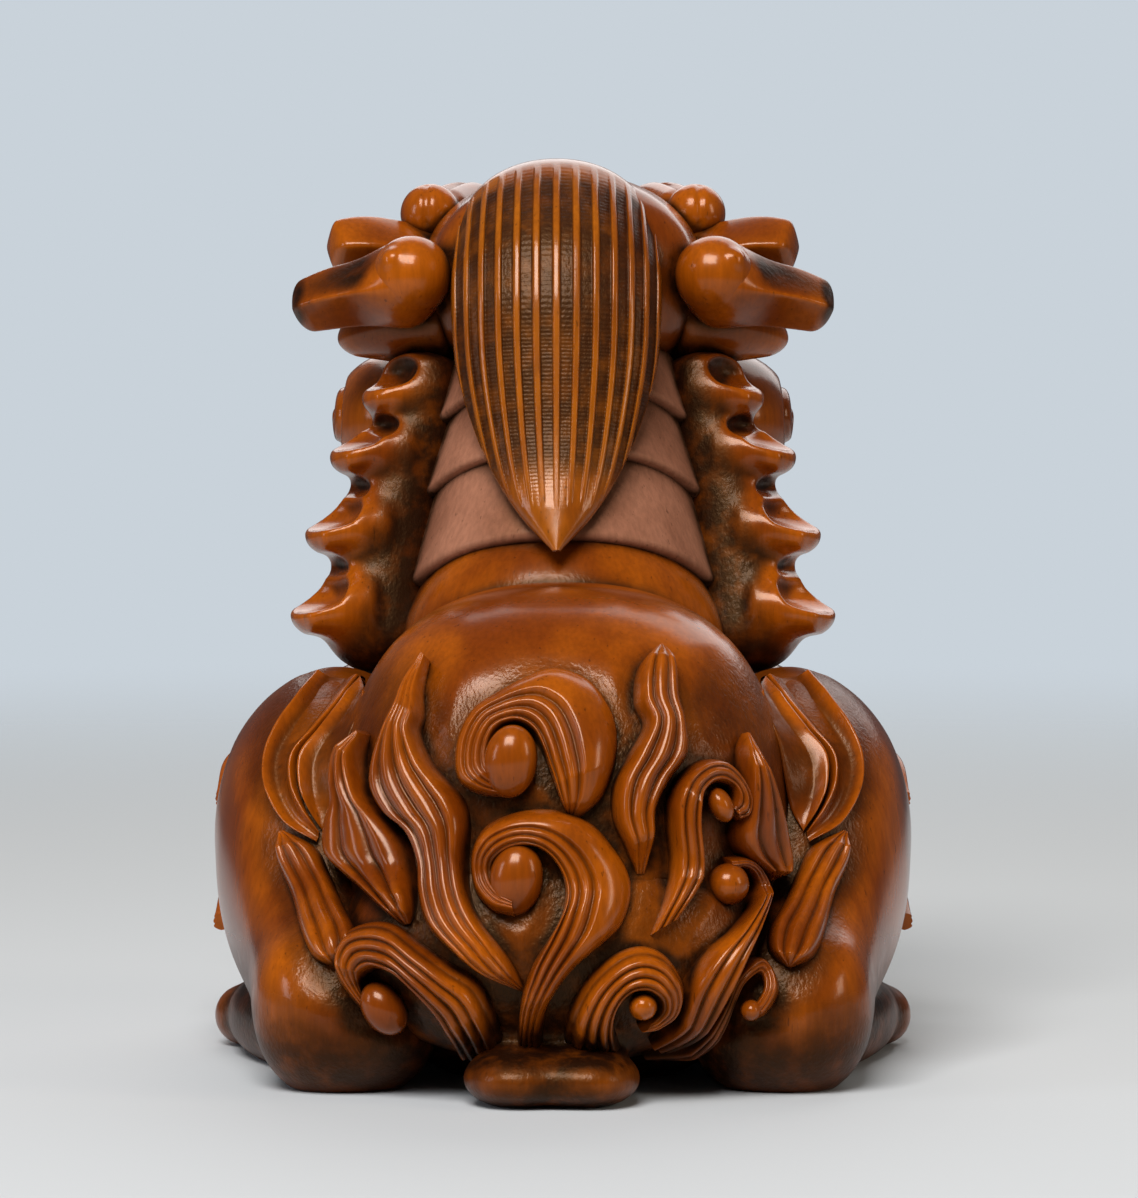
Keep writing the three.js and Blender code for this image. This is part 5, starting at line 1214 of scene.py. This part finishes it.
for piece in pieces:
    local = np.clip(spots[piece.name], 0, size - 2)
    cell = local.astype(int)
    f = local - cell
    shade_and_stain = np.zeros(len(local))
    for hollow, weight in zip(hollows, (1.1, 1.5)):
        for corner in np.ndindex(2, 2, 2):
            share = np.prod(np.where(corner, f, 1 - f), axis=1)
            shade_and_stain += weight * share * (hollow[tuple((cell + corner).T)] - 0.5)
    place = spots[piece.name] * CELL + low
    tilt = read(piece.data.vertex_normals, "vector")[:, 2]
    if piece.name.endswith("_ear"):
        end = np.clip((np.abs(place[:, 0]) - EAR_TIP) / 1.8, 0, 1)
        leaf_only = np.clip((np.abs(place[:, 0]) - EAR_LEAF) / 2.0, 0, 1)
        facet = np.clip((tilt - 0.35) / 0.25, 0, 1) * leaf_only
        shade_and_stain += 1.2 * np.maximum(end, 0.5 * facet)
    if piece.name.endswith("_frill"):
        heights, columns = [row[1] for row in COLUMN[::-1]], [row[0] for row in COLUMN[::-1]]
        out = np.abs(place[:, 0]) - np.interp(place[:, 2], heights, columns)
        # The column is darkened, partly as stain and partly as painted shade, and the hooks far less.
        shade_and_stain += 0.48 - 0.42 * np.clip((out - 1.2) / 3, 0, 1)
        # Painted light: the scoops and hook faces that turn upwards are painted lighter.
        shade_and_stain -= 0.4 * np.clip(tilt / 0.6, 0, 1) * np.clip((out - 0.6) / 1.6, 0, 1)
    # Painted shade: everything low down, the feet most, is darkened towards the table.
    shade_and_stain += 0.6 * np.clip((FEET_TOP - place[:, 2]) / 10, 0, 1)
    # Painted shade along the foot of the lip.
    if piece.name == "carved_tail_root":
        shade_and_stain += 0.2 * np.clip(LIP_HEIGHT + 0.8 - place[:, 2], 0, 1)
    if piece.name == "carved_mane_lock":
        shade_and_stain += 0.3 * np.clip((MANE_POINT_TOP - place[:, 2]) / 6, 0, 1)
    keep(piece.data, "shade_and_stain", shade_and_stain)

# Studio
# The figurine stands on a plain pale floor under a broad soft lamp, as on a table by a window. A weaker
# lamp beyond it lights the face, and a narrow one on each side draws the outline of the haunches.


def lamp(name, place, aim, size, watts, tint):
    """A rectangular soft lamp at a place, turned to its aim."""
    light = bpy.data.lights.new(name, "AREA")
    light.shape = "RECTANGLE"
    light.size, light.size_y = size
    light.energy = watts
    light.color = linear(tint)[:3]
    fixture = bpy.data.objects.new(name, light)
    bpy.context.scene.collection.objects.link(fixture)
    fixture.location = place
    fixture.rotation_euler = (Vector(aim) - Vector(place)).to_track_quat("-Z", "Y").to_euler()


def pale_floor(name, colour, fade_from, fade_to):
    """A matt floor that thins out into the backdrop with distance, so that no horizon shows."""
    matt = bpy.data.materials.new(name)
    matt.use_nodes = True
    tree = matt.node_tree
    shader = tree.nodes["Principled BSDF"]
    shader.inputs["Base Color"].default_value = linear(colour)
    shader.inputs["Roughness"].default_value = 0.7
    place = add(tree, "ShaderNodeTexCoord")["Object"]
    far = add(tree, "ShaderNodeVectorMath", [place], operation="LENGTH")["Value"]
    limits = (far, fade_from, fade_to, 1.0, 0.0)
    thin = add(tree, "ShaderNodeMapRange", limits, interpolation_type="SMOOTHSTEP")[0]
    tree.links.new(thin, shader.inputs["Alpha"])
    return matt


CAMERA_PLACE, CAMERA_AIM = Vector((0, -0.380, 0.050)), Vector((0.00046, 0, 0.0343))
bpy.ops.mesh.primitive_plane_add(size=6, location=(0, 0, 0))
floor = bpy.context.object
floor.name = "floor"
floor.data.materials.append(pale_floor("pale_floor", "#C6C6C3", 0.12, 0.55))
floor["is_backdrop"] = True
lamp("window", (-0.12, -0.42, 0.54), (0, 0, 0.035), (0.40, 0.30), 6.0, "#F8FAFF")
lamp("beyond", (0.1, 0.5, 0.42), (0, 0, 0.03), (0.6, 0.5), 1.5, "#FFFFFF")
lamp("side_left", (-0.5, -0.2, 0.2), (0, 0, 0.035), (0.1, 0.25), 0.5, "#E6EEFF")
lamp("side_right", (0.5, -0.2, 0.22), (0, 0, 0.035), (0.1, 0.25), 0.5, "#FFF6E8")
world = bpy.data.worlds.new("studio")
bpy.context.scene.world = world
world.use_nodes = True
backdrop = world.node_tree.nodes["Background"]
backdrop.inputs["Color"].default_value = linear("#C9D2DA")
seen = add(world.node_tree, "ShaderNodeLightPath")["Is Camera Ray"]
strength = {"Value": seen, "To Min": 0.11, "To Max": 1.0}  # lit softly, and pale to the camera
level = add(world.node_tree, "ShaderNodeMapRange", strength)[0]
world.node_tree.links.new(level, backdrop.inputs["Strength"])
bpy.context.scene.view_settings.view_transform = "Standard"

camera_data = bpy.data.cameras.new("camera")
camera_data.sensor_fit = "HORIZONTAL"
camera_data.sensor_width = 36
camera_data.lens = 156.3
camera_data.clip_start = 0.01
camera = bpy.data.objects.new("camera", camera_data)
bpy.context.scene.collection.objects.link(camera)
camera.location = CAMERA_PLACE
camera.rotation_euler = (CAMERA_AIM - CAMERA_PLACE).to_track_quat("-Z", "Y").to_euler()
bpy.context.scene.camera = camera
